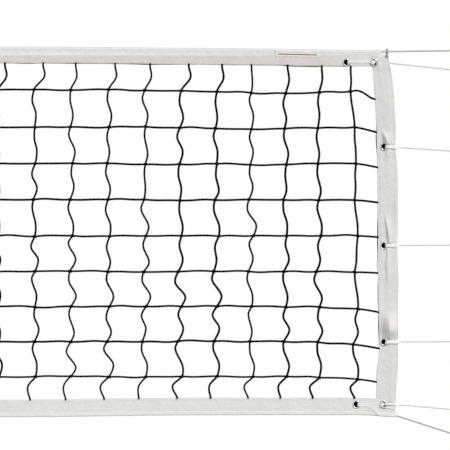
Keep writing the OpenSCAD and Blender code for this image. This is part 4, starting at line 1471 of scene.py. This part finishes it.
@dataclass
class CornerFittings:
    """Eyelets, the black loops seen in them, the corners' lacing and straps, and the clips."""

    plan: NetPlan
    wardrobe: Wardrobe
    hole_r: float = 0.0069
    rim_r: float = 0.0108
    tape_half: float = 0.0016
    corner_half: float = 0.0029
    loop_r: float = 0.0017
    rope_r: float = 0.0018
    lace_r: float = 0.0012
    back: float = 0.0045
    clip_inset: float = 0.0281
    clip_w: float = 0.0072
    clip_half: float = 0.0007

    def eyelet(self, shell: Shell, place: Point, half: float) -> None:
        """Adds one eyelet: a rolled rim on each face and the barrel between them.

        Args:
            shell: Where it is added.
            place: Its middle.
            half: Half the thickness of the cloth that it holds.
        """
        rim = []
        for side in (-1, 1):
            arc = [(self.hole_r + 0.0001, side * (half + 0.0002))]
            for a in range(0, 181, 20):
                swell = math.sin(math.radians(a))
                arc.append((self.hole_r + 0.0003 + (self.rim_r - self.hole_r) * a / 180,
                            side * (half + 0.00035 + 0.0019 * swell)))
            arc.append((self.rim_r, side * (half - 0.0004)))
            rim.append(arc)
        outline = rim[0] + [(self.hole_r + 0.0008, -0.6 * half), (self.hole_r + 0.0008, 0.6 * half)] \
            + rim[1][::-1] + [(self.hole_r, 0.5 * half), (self.hole_r, -0.5 * half)]
        shell.lathe(outline, place, 40)

    def places(self, side: Side) -> list[Vector]:
        """The middle of every eyelet at an end of the net.

        Args:
            side: The net's end.

        Returns:
            The places, from the top corner down.
        """
        plan = self.plan
        found = [(inset, plan.top_eyelet_depth) for inset in plan.top_eyelets]
        found += [(plan.side_inset, depth) for depth in plan.side_depths]
        found += [(inset, plan.low_eyelet_depth) for inset in plan.low_eyelets]
        return [Vector(plan.spot(side, inset, depth)) for inset, depth in found]

    def build(self) -> None:
        """Makes the fittings at both ends."""
        rings, loops, laces, clips = Shell(), Shell(), Shell(), Shell()
        for side in Side:
            for number, spot in enumerate(self.places(side)):
                self.eyelet(rings, spot, self.corner_half if number == 0 else self.tape_half)
                self.dark_loop(loops, spot, side, number)
            self.top_lacing(laces, side)
            self.low_lacing(laces, side)
            self.clip(clips, side)
        rings.piece("eyelet_rings", self.wardrobe["eyelet_metal"], Body.MASTS, "eyelet_metal", ["eyelets"])
        loops.piece("edge_twine_loops", self.wardrobe["black_twine"], Body.MASTS, "net_twine")
        # The lacing uses the taut rope painted lighter: painted highlight.
        laces.piece("corner_lacing", self.wardrobe["white_rope"], Body.MASTS, "tie_rope", ["corner_lashings"])
        clips.piece("corner_bars", self.wardrobe["clip_steel"], Body.MASTS, "dark_clip", ["corner_clips"])

    def dark_loop(self, shell: Shell, spot: Point, side: Side, number: int) -> None:
        """Adds the edge twine's strands that fill the inner part of an eyelet's hole, inside the tape.

        Args:
            shell: Where they are added.
            spot: The eyelet's middle.
            side: The end of the net.
            number: The eyelet's number from the top corner, the two at each corner first and last.
        """
        tied = number in (0, 5)
        lean = -0.003 if tied else 0.0016 * (-1) ** number
        for offset in (-0.0046, -0.0022, 0.0002, 0.0026)[:3 if tied else 4]:
            path = []
            for k in range(9):
                t = k / 8 * 2 - 1
                bow = offset + (0.0042 if tied else 0.0) + lean * t * 0.5 - 0.0012 * (1 - t * t)
                path.append((spot[0] + side.value * bow, 0.0004 + 0.0002 * t, spot[2] + 0.0066 * t))
            shell.tube(path, self.loop_r, 7)

    def strand(self, shell: Shell, side: Side, radius: float, *marks: Triple) -> None:
        """Adds a strand of rope through marks.

        Args:
            shell: Where it is added.
            side: The end of the net.
            radius: The strand's radius.
            marks: Inset from the net's end, offset along Y and depth below its top.
        """
        shell.tube(through([self.plan.spot(side, inset, depth, y) for inset, y, depth in marks]), radius, 8)

    def knot(self, shell: Shell, side: Side, inset: float, depth: float, turn: float) -> None:
        """Adds a knot in front of a corner eyelet.

        Args:
            shell: Where it is added.
            side: The end of the net.
            inset: Its distance from the net's end.
            depth: Its depth.
            turn: How far it is turned, in radians.
        """
        centre = self.plan.spot(side, inset, depth, -0.0066)
        shell.tube(knot_path(centre, 0.0042, turn * side.value), self.rope_r * 0.92, 8, closed=True)

    def top_lacing(self, shell: Shell, side: Side) -> None:
        """Adds the rope laced between the two eyelets of the upper corner, its strap and both knots.

        Args:
            shell: Where it is added.
            side: The end of the net.
        """
        outer, inner = self.plan.top_eyelets
        deep, back = self.plan.top_eyelet_depth, self.back
        for shift in (-0.0020, 0.0008):
            lead = deep + shift
            self.strand(shell, side, self.lace_r, (inner - 0.0052, back, lead), (inner - 0.0042, 0.0, lead),
                        (inner - 0.0085, -0.0035, lead), (inner - 0.015, -0.0017, lead - 0.0008),
                        (outer + 0.016, -0.0017, lead - 0.0006), (outer + 0.009, -0.0035, lead),
                        (outer + 0.0035, -0.001, lead + 0.0012), (outer + 0.003, back, lead + 0.0012))
        for shift in (-0.0024, 0.0, 0.0024):
            self.strand(shell, side, self.rope_r, (outer + 0.002, back, deep + 0.003),
                        (outer + 0.001 + shift, 0.0, deep - 0.001),
                        (outer - 0.007 + shift, -0.0056, deep - 0.006 + shift),
                        (outer - 0.016 + shift, -0.0048, deep - 0.0145 + shift),
                        (outer - 0.022 + shift, -0.0034, deep - 0.0205 + shift),
                        (outer - 0.0255 + shift, 0.0030, deep - 0.0262 + shift),
                        (outer - 0.0265 + shift, 0.0048, deep - 0.0285 + shift))
        self.knot(shell, side, outer + 0.0030, deep - 0.0004, 0.5)
        self.knot(shell, side, self.plan.low_eyelets[0] + 0.0032, 0.9862, 1.1)

    def low_lacing(self, shell: Shell, side: Side) -> None:
        """Adds the rope laced through the two eyelets of the lower corner.

        Args:
            shell: Where it is added.
            side: The end of the net.
        """
        outer, inner = self.plan.low_eyelets
        for shift, slope in ((-0.0006, 0.0004), (0.0036, 0.0028)):
            lead = self.plan.low_eyelet_depth + shift
            self.strand(shell, side, self.lace_r, (inner - 0.0052, self.back, lead),
                        (inner - 0.0042, 0.0, lead), (inner - 0.0085, -0.0035, lead),
                        (inner - 0.014, -0.0016, lead + 0.2 * slope), (outer + 0.018, -0.0016, lead + slope),
                        (outer + 0.009, -0.0036, lead + slope), (outer - 0.002, -0.0048, lead + 1.5 * slope),
                        (outer - 0.015, -0.0024, lead + 2.2 * slope), (0.0065, -0.0022, lead + 3 * slope),
                        (0.0035, 0.0, lead + 3.2 * slope))

    def clip(self, shell: Shell, side: Side) -> None:
        """Adds the flat steel bar that hooks up behind the cable and down over the tape's corner.

        Args:
            shell: Where it is added.
            side: The end of the net.
        """
        plan = self.plan
        x, cable = plan.half_len - self.clip_inset, plan.cable_z(plan.half_len)
        marks = [(0, 0.0046, 0.0078), (0, 0.0046, 0.0020), (0, 0.0040, -0.0022), (0, 0.0006, -0.0044),
                 (0, -0.0030, -0.0072), (0, -0.0038, -0.0105), (0, -0.0040, -0.0160)]
        middle = through(marks, 4)
        points, faces = [], []
        for i, here in enumerate(middle):
            along = (middle[min(i + 1, len(middle) - 1)] - middle[max(i - 1, 0)]).normalized()
            normal = Vector((0, along.z, -along.y)) * self.clip_half
            for across, face in ((-0.5, -1), (0.5, -1), (0.5, 1), (-0.5, 1)):
                place = here + normal * face
                points.append((side.value * (x + across * self.clip_w), place.y, cable + place.z))
        for i in range(len(middle) - 1):
            a, b = 4 * i, 4 * i + 4
            faces += [(a + k, a + (k + 1) % 4, b + (k + 1) % 4, b + k) for k in range(4)]
        last = 4 * len(middle) - 4
        faces += [(3, 2, 1, 0), (last, last + 1, last + 2, last + 3)]
        shell.add(points, [face[::side.value] for face in faces])


# --- Ropes ---


@dataclass
class Ropes:
    """The tie ropes, their loops and knots, the headline cable and the bottom line.

    A taut rope starts and ends knot_r from the middle of its knots, and knot_size is half a knot's
    width without the rope's thickness.
    """

    plan: NetPlan
    wardrobe: Wardrobe
    rope_r: float = 0.0020
    hook_x: float = 4.990
    knot_r: float = 0.005
    knot_size: float = 0.0034
    loop_r: float = 0.0063
    corner_shift: float = 0.0025
    spreads: tuple[float, ...] = (0.0034, 0.0041, 0.0030, 0.0013)
    hook_depths: tuple[float, ...] = (0.0635, 0.287, 0.543, 0.812, 1.0085, 1.094)
    sheave_x: float = 5.0688
    sheave_z: float = 2.401
    sheave_r: float = 0.030
    drop_x: float = 5.0988
    turns: int = 4
    turn_r: float = 0.034
    turn_pitch: float = 0.0056

    def starts(self) -> list[tuple[float, float]]:
        """Inset and height of each tie rope's eyelet, with the corner ropes above the lacing."""
        plan = self.plan
        found = [(plan.top_eyelets[0], plan.top_z - plan.top_eyelet_depth + self.corner_shift)]
        found += [(plan.side_inset, plan.top_z - depth) for depth in plan.side_depths]
        found.append((plan.low_eyelets[0], plan.top_z - plan.low_eyelet_depth + self.corner_shift))
        return found

    def line(self, number: int) -> tuple[Vector, Vector, Vector]:
        """The marks of one tie rope on the right.

        Args:
            number: The rope's number, from 0 at the top.

        Returns:
            Its eyelet, near knot and far knot.
        """
        plan = self.plan
        inset, z = self.starts()[number]
        start = Vector((plan.half_len - inset, 0, z))
        far = Vector((self.knot_x(), 0, plan.top_z - self.hook_depths[number]))
        way = (far - start).normalized()
        near = start + way * ((inset + self.knot_r + 0.0003) / way.x)
        return start, near, far

    def build(self) -> None:
        """Makes the ropes at both ends, then the cable and the line."""
        for side in Side:
            self.ties(side)
            self.loops(side)
            self.hook_loops(side)
        self.headline(self.winding())
        self.bottom_line()

    def knot_x(self) -> float:
        """How far out the knots beside the hooks are."""
        return self.hook_x - self.loop_r - self.knot_r * 0.7

    def flip(self, side: Side, points: Iterable[Point]) -> list[Triple]:
        """Points of the right-hand end, brought to a side."""
        return [(side.value * x, y, z) for x, y, z in points]

    def along_net(self, height: Callable[[float], float]) -> list[Triple]:
        """Points from the net's left end to its right one, at a height that goes with X."""
        ends, steps = self.plan.half_len, 400
        return [(x, 0, height(x)) for x in (-ends + 2 * ends * i / steps for i in range(steps + 1))]

    def ties(self, side: Side) -> None:
        """The five taut ropes of a side, as curves.

        Args:
            side: The side.
        """
        for number in range(5):
            _, near, far = self.line(number)
            name = f"tie_rope_{side.word}_{number + 1}"
            path = self.flip(side, run_between(near, far, 20))
            rope = rope_curve(f"{name}_braid", path, self.rope_r, self.wardrobe["taut_rope"])
            settle(rope, Body.MASTS, [name])
            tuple(path[0])

    def loops(self, side: Side) -> None:
        """The ropes through the eyelets: three strands in front of the tape, one behind, and a knot.

        The top corner's rope passes behind the tape, and the corners' ropes are greyer. Every lighter loop
        and run is painted highlight.

        Args:
            side: The end of the net.
        """
        shell, high, low = Shell(), Shell(), Shell()
        start, near, _ = self.line(0)
        self.hidden_run(high, side, start, near)
        for number in range(1, 5):
            start, near, _ = self.line(number)
            self.spread_run(low if number == 4 else shell, side, start, near, number)
        high.piece(f"corner_run_{side.word}", self.wardrobe["taut_rope"], Body.MASTS, "tie_rope")
        # The low run and the eyelet loops are the taut rope painted lighter: painted highlight.
        low.piece(f"low_run_{side.word}", self.wardrobe["worn_rope"], Body.MASTS, "tie_rope")
        shell.piece(f"eyelet_loops_{side.word}", self.wardrobe["white_rope"], Body.MASTS, "tie_rope",
                    [f"rope_loops_{side.word}"])

    def hidden_run(self, shell: Shell, side: Side, start: Vector, near: Vector) -> None:
        """Adds the top rope's way behind the tape, from its eyelet to where the taut rope starts.

        Args:
            shell: Where it is added.
            side: The end of the net.
            start: The eyelet.
            near: Where the taut rope starts.
        """
        marks = [start + Vector((0.0012, -0.0046, -0.003)), start + Vector((0.0036, 0, -0.002)),
                 start + Vector((0.0080, 0.0042, -0.0012)), start.lerp(near, 0.45) + Vector((0, 0.0040, 0)),
                 start.lerp(near, 0.8) + Vector((0, 0.0030, 0)), near]
        shell.tube(self.flip(side, through(marks)), self.rope_r, 8)

    def spread_run(self, shell: Shell, side: Side, start: Vector, near: Vector, number: int) -> None:
        """Adds a doubled rope that spreads a little between its eyelet and its knot.

        Args:
            shell: Where it is added.
            side: The end of the net.
            start: The eyelet.
            near: The knot.
            number: The rope's number from the top.
        """
        way = (near - start).normalized()
        length = (near - start).length
        hole = start + way * 0.0052
        back = hole + Vector((0.0006, 0.0044, 0))
        narrow, strand_r = (0.0022, self.rope_r * 0.92) if number < 4 else (0.0012, self.rope_r * 0.72)
        for spread in (-1, 0, 1):
            first, wide = narrow * spread, self.spreads[number - 1] * spread
            front = Vector((0, -0.0006 * (1 - abs(spread)), 0))
            marks = [back, hole + Vector((-0.0008, 0, 0.7 * narrow * spread)),
                     hole + Vector((0.0036, -0.0052, first)),
                     start + way * (0.45 * length) + Vector((0, -0.0034, first)) + front,
                     start + way * (0.8 * length) + Vector((0, -0.0032, wide)) + front,
                     start + way * (length - 0.0045) + Vector((0, -0.0016, 0.6 * wide)), near]
            shell.tube(self.flip(side, through(marks)), strand_r, 8)
        behind = [back, hole + Vector((0.006, 0.0042, 0.0004)),
                  start + way * (0.75 * length) + Vector((0, 0.0038, 0)), near + Vector((-0.001, 0.0012, 0))]
        shell.tube(self.flip(side, through(behind)), self.rope_r * 0.92, 8)
        knot = knot_path(near + Vector((0.0006, 0, 0)), self.knot_size, 0.6 + number)
        shell.tube(self.flip(side, knot), self.rope_r * 0.9, 8, closed=True)
        tail = [near + Vector((-0.0006 * k, -0.0022 - 0.0004 * k, -0.0011 * k)) for k in range(5)]
        shell.tube(self.flip(side, tail), self.rope_r * 0.85, 8)

    def hook_loops(self, side: Side) -> None:
        """The loops round the hooks, each with its knot.

        Args:
            side: The side.
        """
        shell = Shell()
        for number, depth in enumerate(self.hook_depths):
            z = self.plan.top_z - depth
            ring = [(self.hook_x + self.loop_r * math.cos(a), self.loop_r * math.sin(a),
                     z + 0.0003 * math.sin(3 * a)) for a in (2 * math.pi * k / 32 for k in range(32))]
            shell.tube(self.flip(side, ring), self.rope_r, 8, closed=True)
            knot = knot_path((self.knot_x(), 0, z), self.knot_size, 0.3 + number)
            shell.tube(self.flip(side, knot), self.rope_r * 0.92, 8, closed=True)
        # The hook loops and knots are the taut rope painted lighter: painted highlight.
        shell.piece(f"hook_ties_{side.word}", self.wardrobe["white_rope"], Body.MASTS, "tie_rope",
                    [f"hook_loops_{side.word}"])

    def over_sheave(self) -> list[Triple]:
        """The cable's way over the right sheave, from where it meets it to where it hangs down."""
        reach, fall = self.sheave_x - self.plan.half_len, self.sheave_z - 2.426
        slope = math.asin(self.sheave_r / math.hypot(reach, 0.025)) + math.atan2(fall, reach)
        return [(self.sheave_x + self.sheave_r * math.cos(a), 0, self.sheave_z + self.sheave_r * math.sin(a))
                for a in ((math.pi / 2 + slope) * (1 - k / 20) for k in range(21))]

    def headline(self, turns: bpy.types.Object) -> None:
        """The headline cable, from the eye on the left over both sheaves to the winch.

        Args:
            turns: The cable's turns on the drum; not used.
        """
        plan = self.plan
        right = self.over_sheave()
        left = [(-x, y, z) for x, y, z in reversed(right)]
        eye_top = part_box("cable_eye")[1][2]
        start = [(-self.drop_x, 0, eye_top - 0.004 + (left[0][2] - eye_top) * k / 6) for k in range(6)]
        low_z = self.drum_z() + 0.005
        end = [(self.drop_x, 0, right[-1][2] + (low_z - right[-1][2]) * k / 12) for k in range(1, 13)]
        route = start + left + self.along_net(plan.cable_z) + right + end
        shell = Shell()
        shell.tube(route, plan.cable_r, 12)
        cable = shell.piece("headline_cable_sheath", self.wardrobe["sheathed_cable"], Body.MASTS,
                            "cable_sheath", ["headline_cable"])
        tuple(route[0])
        length_of(route)

    def drum_z(self) -> float:
        """Height of the drum's axis."""
        low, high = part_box("winch_drum")
        return (low[2] + high[2]) / 2

    def winding(self) -> bpy.types.Object:
        """The cable's turns on the drum, and its end bent into the drum's flange."""
        drum_x, drum_z, radius, steps = self.drop_x + self.turn_r, self.drum_z(), self.turn_r, 48
        path = [(self.drop_x, 0, drum_z + 0.005)]
        for i in range(self.turns * steps + 1):
            a = math.pi + 2 * math.pi * i / steps
            path.append((drum_x + radius * math.cos(a), -self.turn_pitch * i / steps,
                         drum_z + radius * math.sin(a)))
        last, bend_r = Vector(path[-1]), 0.006
        for a in (math.radians(degrees) for degrees in (30, 60, 90)):
            path.append(tuple(last + bend_r * Vector((0, math.cos(a) - 1, -math.sin(a)))))
        path.append((last.x, last.y - bend_r - 0.005, last.z - bend_r))
        shell = Shell()
        shell.tube(path, self.plan.cable_r, 10)
        return shell.piece("cable_turns", self.wardrobe["sheathed_cable"], Body.MASTS, "cable_sheath",
                           ["cable_winding"])

    def bottom_line(self) -> None:
        """The bottom line, through its fold and down to the lowest hooks."""
        plan = self.plan
        far = Vector((self.knot_x(), 0, plan.top_z - self.hook_depths[5]))
        corner = Vector((plan.half_len, 0, plan.line_z(plan.half_len)))
        slant = run_between(corner, far, 14)[1:]
        middle = [Vector(point) for point in self.along_net(plan.line_z)]
        path = [Vector((-p.x, p.y, p.z)) for p in reversed(slant)] + middle + slant
        shell = Shell()
        shell.tube(path, plan.line_r, 10)
        cord = shell.piece("bottom_line_cord", self.wardrobe["grey_line"], Body.MASTS, "bottom_cord",
                           ["bottom_line"])
        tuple(path[0])
        length_of(path)


# --- Posts and winch ---


@dataclass
class Posts:
    """The rigid frame: finishes and eased edges on the CAD nodes, welds and the ribbed grip."""

    plan: NetPlan
    wardrobe: Wardrobe
    eased: float = 0.0006
    foot_bead_r: float = 0.0028
    rib_bead_r: float = 0.0024
    rib_half: float = 0.0045
    rib_len: float = 0.1
    bore: float = 0.00512
    ribs: int = 24
    rib_rise: float = 0.0007

    finishes = {
        "base_plate_right": "lower_coat", "base_plate_left": "lower_coat", "gussets": "lower_coat",
        "lower_tube_right": "lower_coat", "lower_tube_left": "lower_coat", "guide_bushes": "black_plastic",
        "clamp_collar_right": "collar_coat", "clamp_collar_left": "collar_coat", "clamp_bolts": "zinc",
        "clamp_lever_right": "lever_coat", "clamp_lever_left": "lever_coat",
        "mast_right": "mast_coat", "mast_left": "mast_coat", "mast_feet": "black_plastic",
        "mast_caps": "black_plastic", "sheave_axles": "zinc", "sheave_right": "nylon", "sheave_left": "nylon",
        "rope_hooks_right": "zinc", "rope_hooks_left": "zinc", "cable_peg": "zinc",
        "cable_eye": "sheathed_cable", "winch_frame": "zinc", "winch_u_bolts": "zinc", "drum_shaft": "zinc",
        "winch_drum": "drum_coat", "drum_gear": "brass", "crank_shaft": "zinc", "crank_arm": "zinc",
    }

    def dress(self) -> None:
        """Gives each rigid CAD node its finish and eases its edges."""
        for node, finish in self.finishes.items():
            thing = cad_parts[node]
            thing.data.materials.clear()
            thing.data.materials.append(self.wardrobe[finish])
            ease = thing.modifiers.new("eased_edges", "BEVEL")
            ease.width = self.eased
            ease.segments = 2
            ease.limit_method = "ANGLE"
            ease.angle_limit = math.radians(35)
            ease.harden_normals = False
            LOG.info("%s dressed in %s", node, finish)

    def welds(self) -> None:
        """The weld beads round the lower tubes' feet and along the gussets."""
        shell = Shell()
        plate_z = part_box("base_plate_right")[1][2]
        low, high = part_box("lower_tube_right")
        tube_r = (high[0] - low[0]) / 2
        for side in Side:
            centre = Vector((side.value * self.plan.post_x, 0, plate_z))
            ring = []
            for k in range(240):
                a = 2 * math.pi * k / 240
                swell = tube_r + 0.0016 + 0.0005 * math.sin(k * 1.9)
                ring.append((centre.x + swell * math.cos(a), swell * math.sin(a), plate_z + 0.0012))
            shell.tube(ring, self.foot_bead_r, 6, closed=True)
            for quarter in range(4):
                a = quarter * math.pi / 2
                along = Vector((math.cos(a), math.sin(a), 0))
                across = Vector((-math.sin(a), math.cos(a), 0))
                for face in (-1, 1):
                    self.rib_beads(shell, centre + across * face * self.rib_half, along, tube_r)
        shell.piece("stand_welds", self.wardrobe["lower_coat"], Body.STANDS, "lower_paint")

    def rib_beads(self, shell: Shell, foot: Vector, along: Vector, tube_r: float) -> None:
        """Adds the beads on one face of a gusset, along the plate and up the tube.

        Args:
            shell: Where they are added.
            foot: The tube's middle on the plate, moved to the gusset's face.
            along: The direction of the gusset, outwards.
            tube_r: The tube's radius.
        """
        flat, upright, steps = [], [], 43
        for k in range(steps + 1):
            way, wave = self.rib_len * k / steps, 0.0004 * math.sin(k * 2.1)
            flat.append(foot + along * (tube_r + 0.004 + way) + Vector((0, 0, 0.001 + wave)))
            upright.append(foot + along * (tube_r + 0.0012 + wave) + Vector((0, 0, 0.004 + way)))
        for line in (flat, upright):
            shell.tube(line, self.rib_bead_r, 6)

    def grip(self) -> None:
        """The crank's rubber grip, ribbed and swelling towards its middle."""
        low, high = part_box("crank_grip")
        centre = ((low[0] + high[0]) / 2, 0, (low[2] + high[2]) / 2)
        radius, length, steps = (high[0] - low[0]) / 2, high[1] - low[1], 96
        outline = [(self.bore, low[1]), (radius * 0.8, low[1])]
        for k in range(steps + 1):
            t = k / steps
            rib = self.rib_rise * math.sin(t * self.ribs * math.pi * 2) if 0.12 < t < 0.88 else 0.0
            round_end = 0.9 + 0.1 * math.sqrt(max(0.0, min(1.0, t / 0.06, (1 - t) / 0.06)))
            swell = radius * (0.86 + 0.10 * math.sin(math.pi * t)) * round_end
            outline.append((swell + rib, low[1] + 0.0008 + (length - 0.0016) * t))
        outline += [(radius * 0.8, high[1]), (self.bore, high[1])]
        shell = Shell()
        shell.lathe(outline, centre, 48)
        shell.piece("crank_grip_rubber", self.wardrobe["grip_rubber"], Body.GRIP, "grip_rubber",
                    ["crank_grip"])

    def build(self) -> None:
        """Dresses the posts and adds their pieces."""
        self.dress()
        self.welds()
        self.grip()


# --- Studio ---


@dataclass
class Studio:
    """A pale floor, soft light, a white surround and the camera."""

    view_x: float = 4.2706
    view_z: float = 1.9423
    view_w: float = 1.2542
    distance: float = 9.0
    glow: float = 0.42
    floor_size: tuple[float, float] = (15.0, 10.0)
    floor_tone: float = 0.83

    def camera(self) -> None:
        """Sets the camera level, square to the net's right end."""
        data = bpy.data.cameras.new("camera")
        data.sensor_width = 36.0
        data.lens = data.sensor_width * self.distance / self.view_w
        data.clip_end = 200.0
        thing = show("camera", data)
        thing.location = (self.view_x, -self.distance, self.view_z)
        thing.rotation_euler = (math.pi / 2, 0, 0)
        bpy.context.scene.camera = thing

    def world(self) -> None:
        """A soft surround that shows plain white to the camera, in gloss and through gaps."""
        world = bpy.data.worlds.new("surround")
        bpy.context.scene.world = world
        world.use_nodes = True
        tree = world.node_tree
        back = tree.nodes["Background"]
        back.inputs["Color"].default_value = (1, 1, 1, 1)
        path = tree.nodes.new("ShaderNodeLightPath")
        seen = path.outputs["Is Camera Ray"]
        for name in ("Is Glossy Ray", "Is Transmission Ray"):
            step = tree.nodes.new("ShaderNodeMath")
            step.operation = "MAXIMUM"
            tree.links.new(seen, step.inputs[0])
            tree.links.new(path.outputs[name], step.inputs[1])
            seen = step.outputs["Value"]
        level = tree.nodes.new("ShaderNodeMapRange")
        level.inputs["To Min"].default_value = self.glow
        level.inputs["To Max"].default_value = 1.0
        tree.links.new(seen, level.inputs["Value"])
        tree.links.new(level.outputs["Result"], back.inputs["Strength"])

    def lamp(self, name: str, towards: Point, strength: float, spread: float) -> None:
        """A soft lamp that lights the whole net evenly.

        Args:
            name: The lamp's name.
            towards: The direction from the net to the lamp.
            strength: Its strength.
            spread: Its apparent width in degrees.
        """
        data = bpy.data.lights.new(name, "SUN")
        data.energy = strength
        data.angle = math.radians(spread)
        show(name, data).rotation_euler = Vector(towards).to_track_quat("Z", "Y").to_euler()

    def floor(self) -> None:
        """A pale floor that keeps the posts' shadows and fades out towards its rim."""
        wide, deep = self.floor_size
        paper = Paper("pale_floor")
        paper.set(Base_Color=(self.floor_tone,) * 3 + (1.0,), Roughness=0.9, Specular_IOR_Level=0.1)
        parts = paper.axes()
        reach = []
        for axis, half in (("X", wide), ("Y", deep)):
            share = paper.mixed("DIVIDE", parts[axis], half)
            reach.append(paper.mixed("MULTIPLY", share, share))
        clear = paper.tree.nodes.new("ShaderNodeBsdfTransparent")
        mix = paper.tree.nodes.new("ShaderNodeMixShader")
        paper.feed(mix.inputs["Fac"], paper.step(paper.mixed("ADD", *reach), 0.15, 0.9))
        paper.feed(mix.inputs[1], paper.shader.outputs["BSDF"])
        paper.feed(mix.inputs[2], clear.outputs["BSDF"])
        paper.feed(paper.tree.nodes["Material Output"].inputs["Surface"], mix.outputs["Shader"])
        shell = Shell()
        shell.add([(-wide, -deep, 0), (wide, -deep, 0), (wide, deep, 0), (-wide, deep, 0)], [(0, 1, 2, 3)])
        mesh = shell.mesh("pale_floor")
        mesh.materials.append(paper.material)
        thing = show("pale_floor", mesh)

    def build(self) -> None:
        """Sets up the camera, the surround, the lamps and the floor."""
        self.camera()
        self.world()
        self.lamp("key", (0.42, -0.62, 0.66), 2.65, 24)
        self.lamp("fill", (-0.8, 0.65, 0.45), 0.6, 60)
        self.floor()
        bpy.context.scene.view_settings.view_transform = "Standard"


def main() -> None:
    """Builds the scene in order."""
    logging.basicConfig(level=logging.INFO, format="%(message)s", stream=sys.stdout)
    plan = NetPlan()
    Studio().build()
    wardrobe = Wardrobe()
    Ropes(plan, wardrobe).build()
    Tapes(plan, wardrobe).build()
    Mesh(plan, wardrobe).build()
    CornerFittings(plan, wardrobe).build()
    Posts(plan, wardrobe).build()


if __name__ == "__main__":
    main()
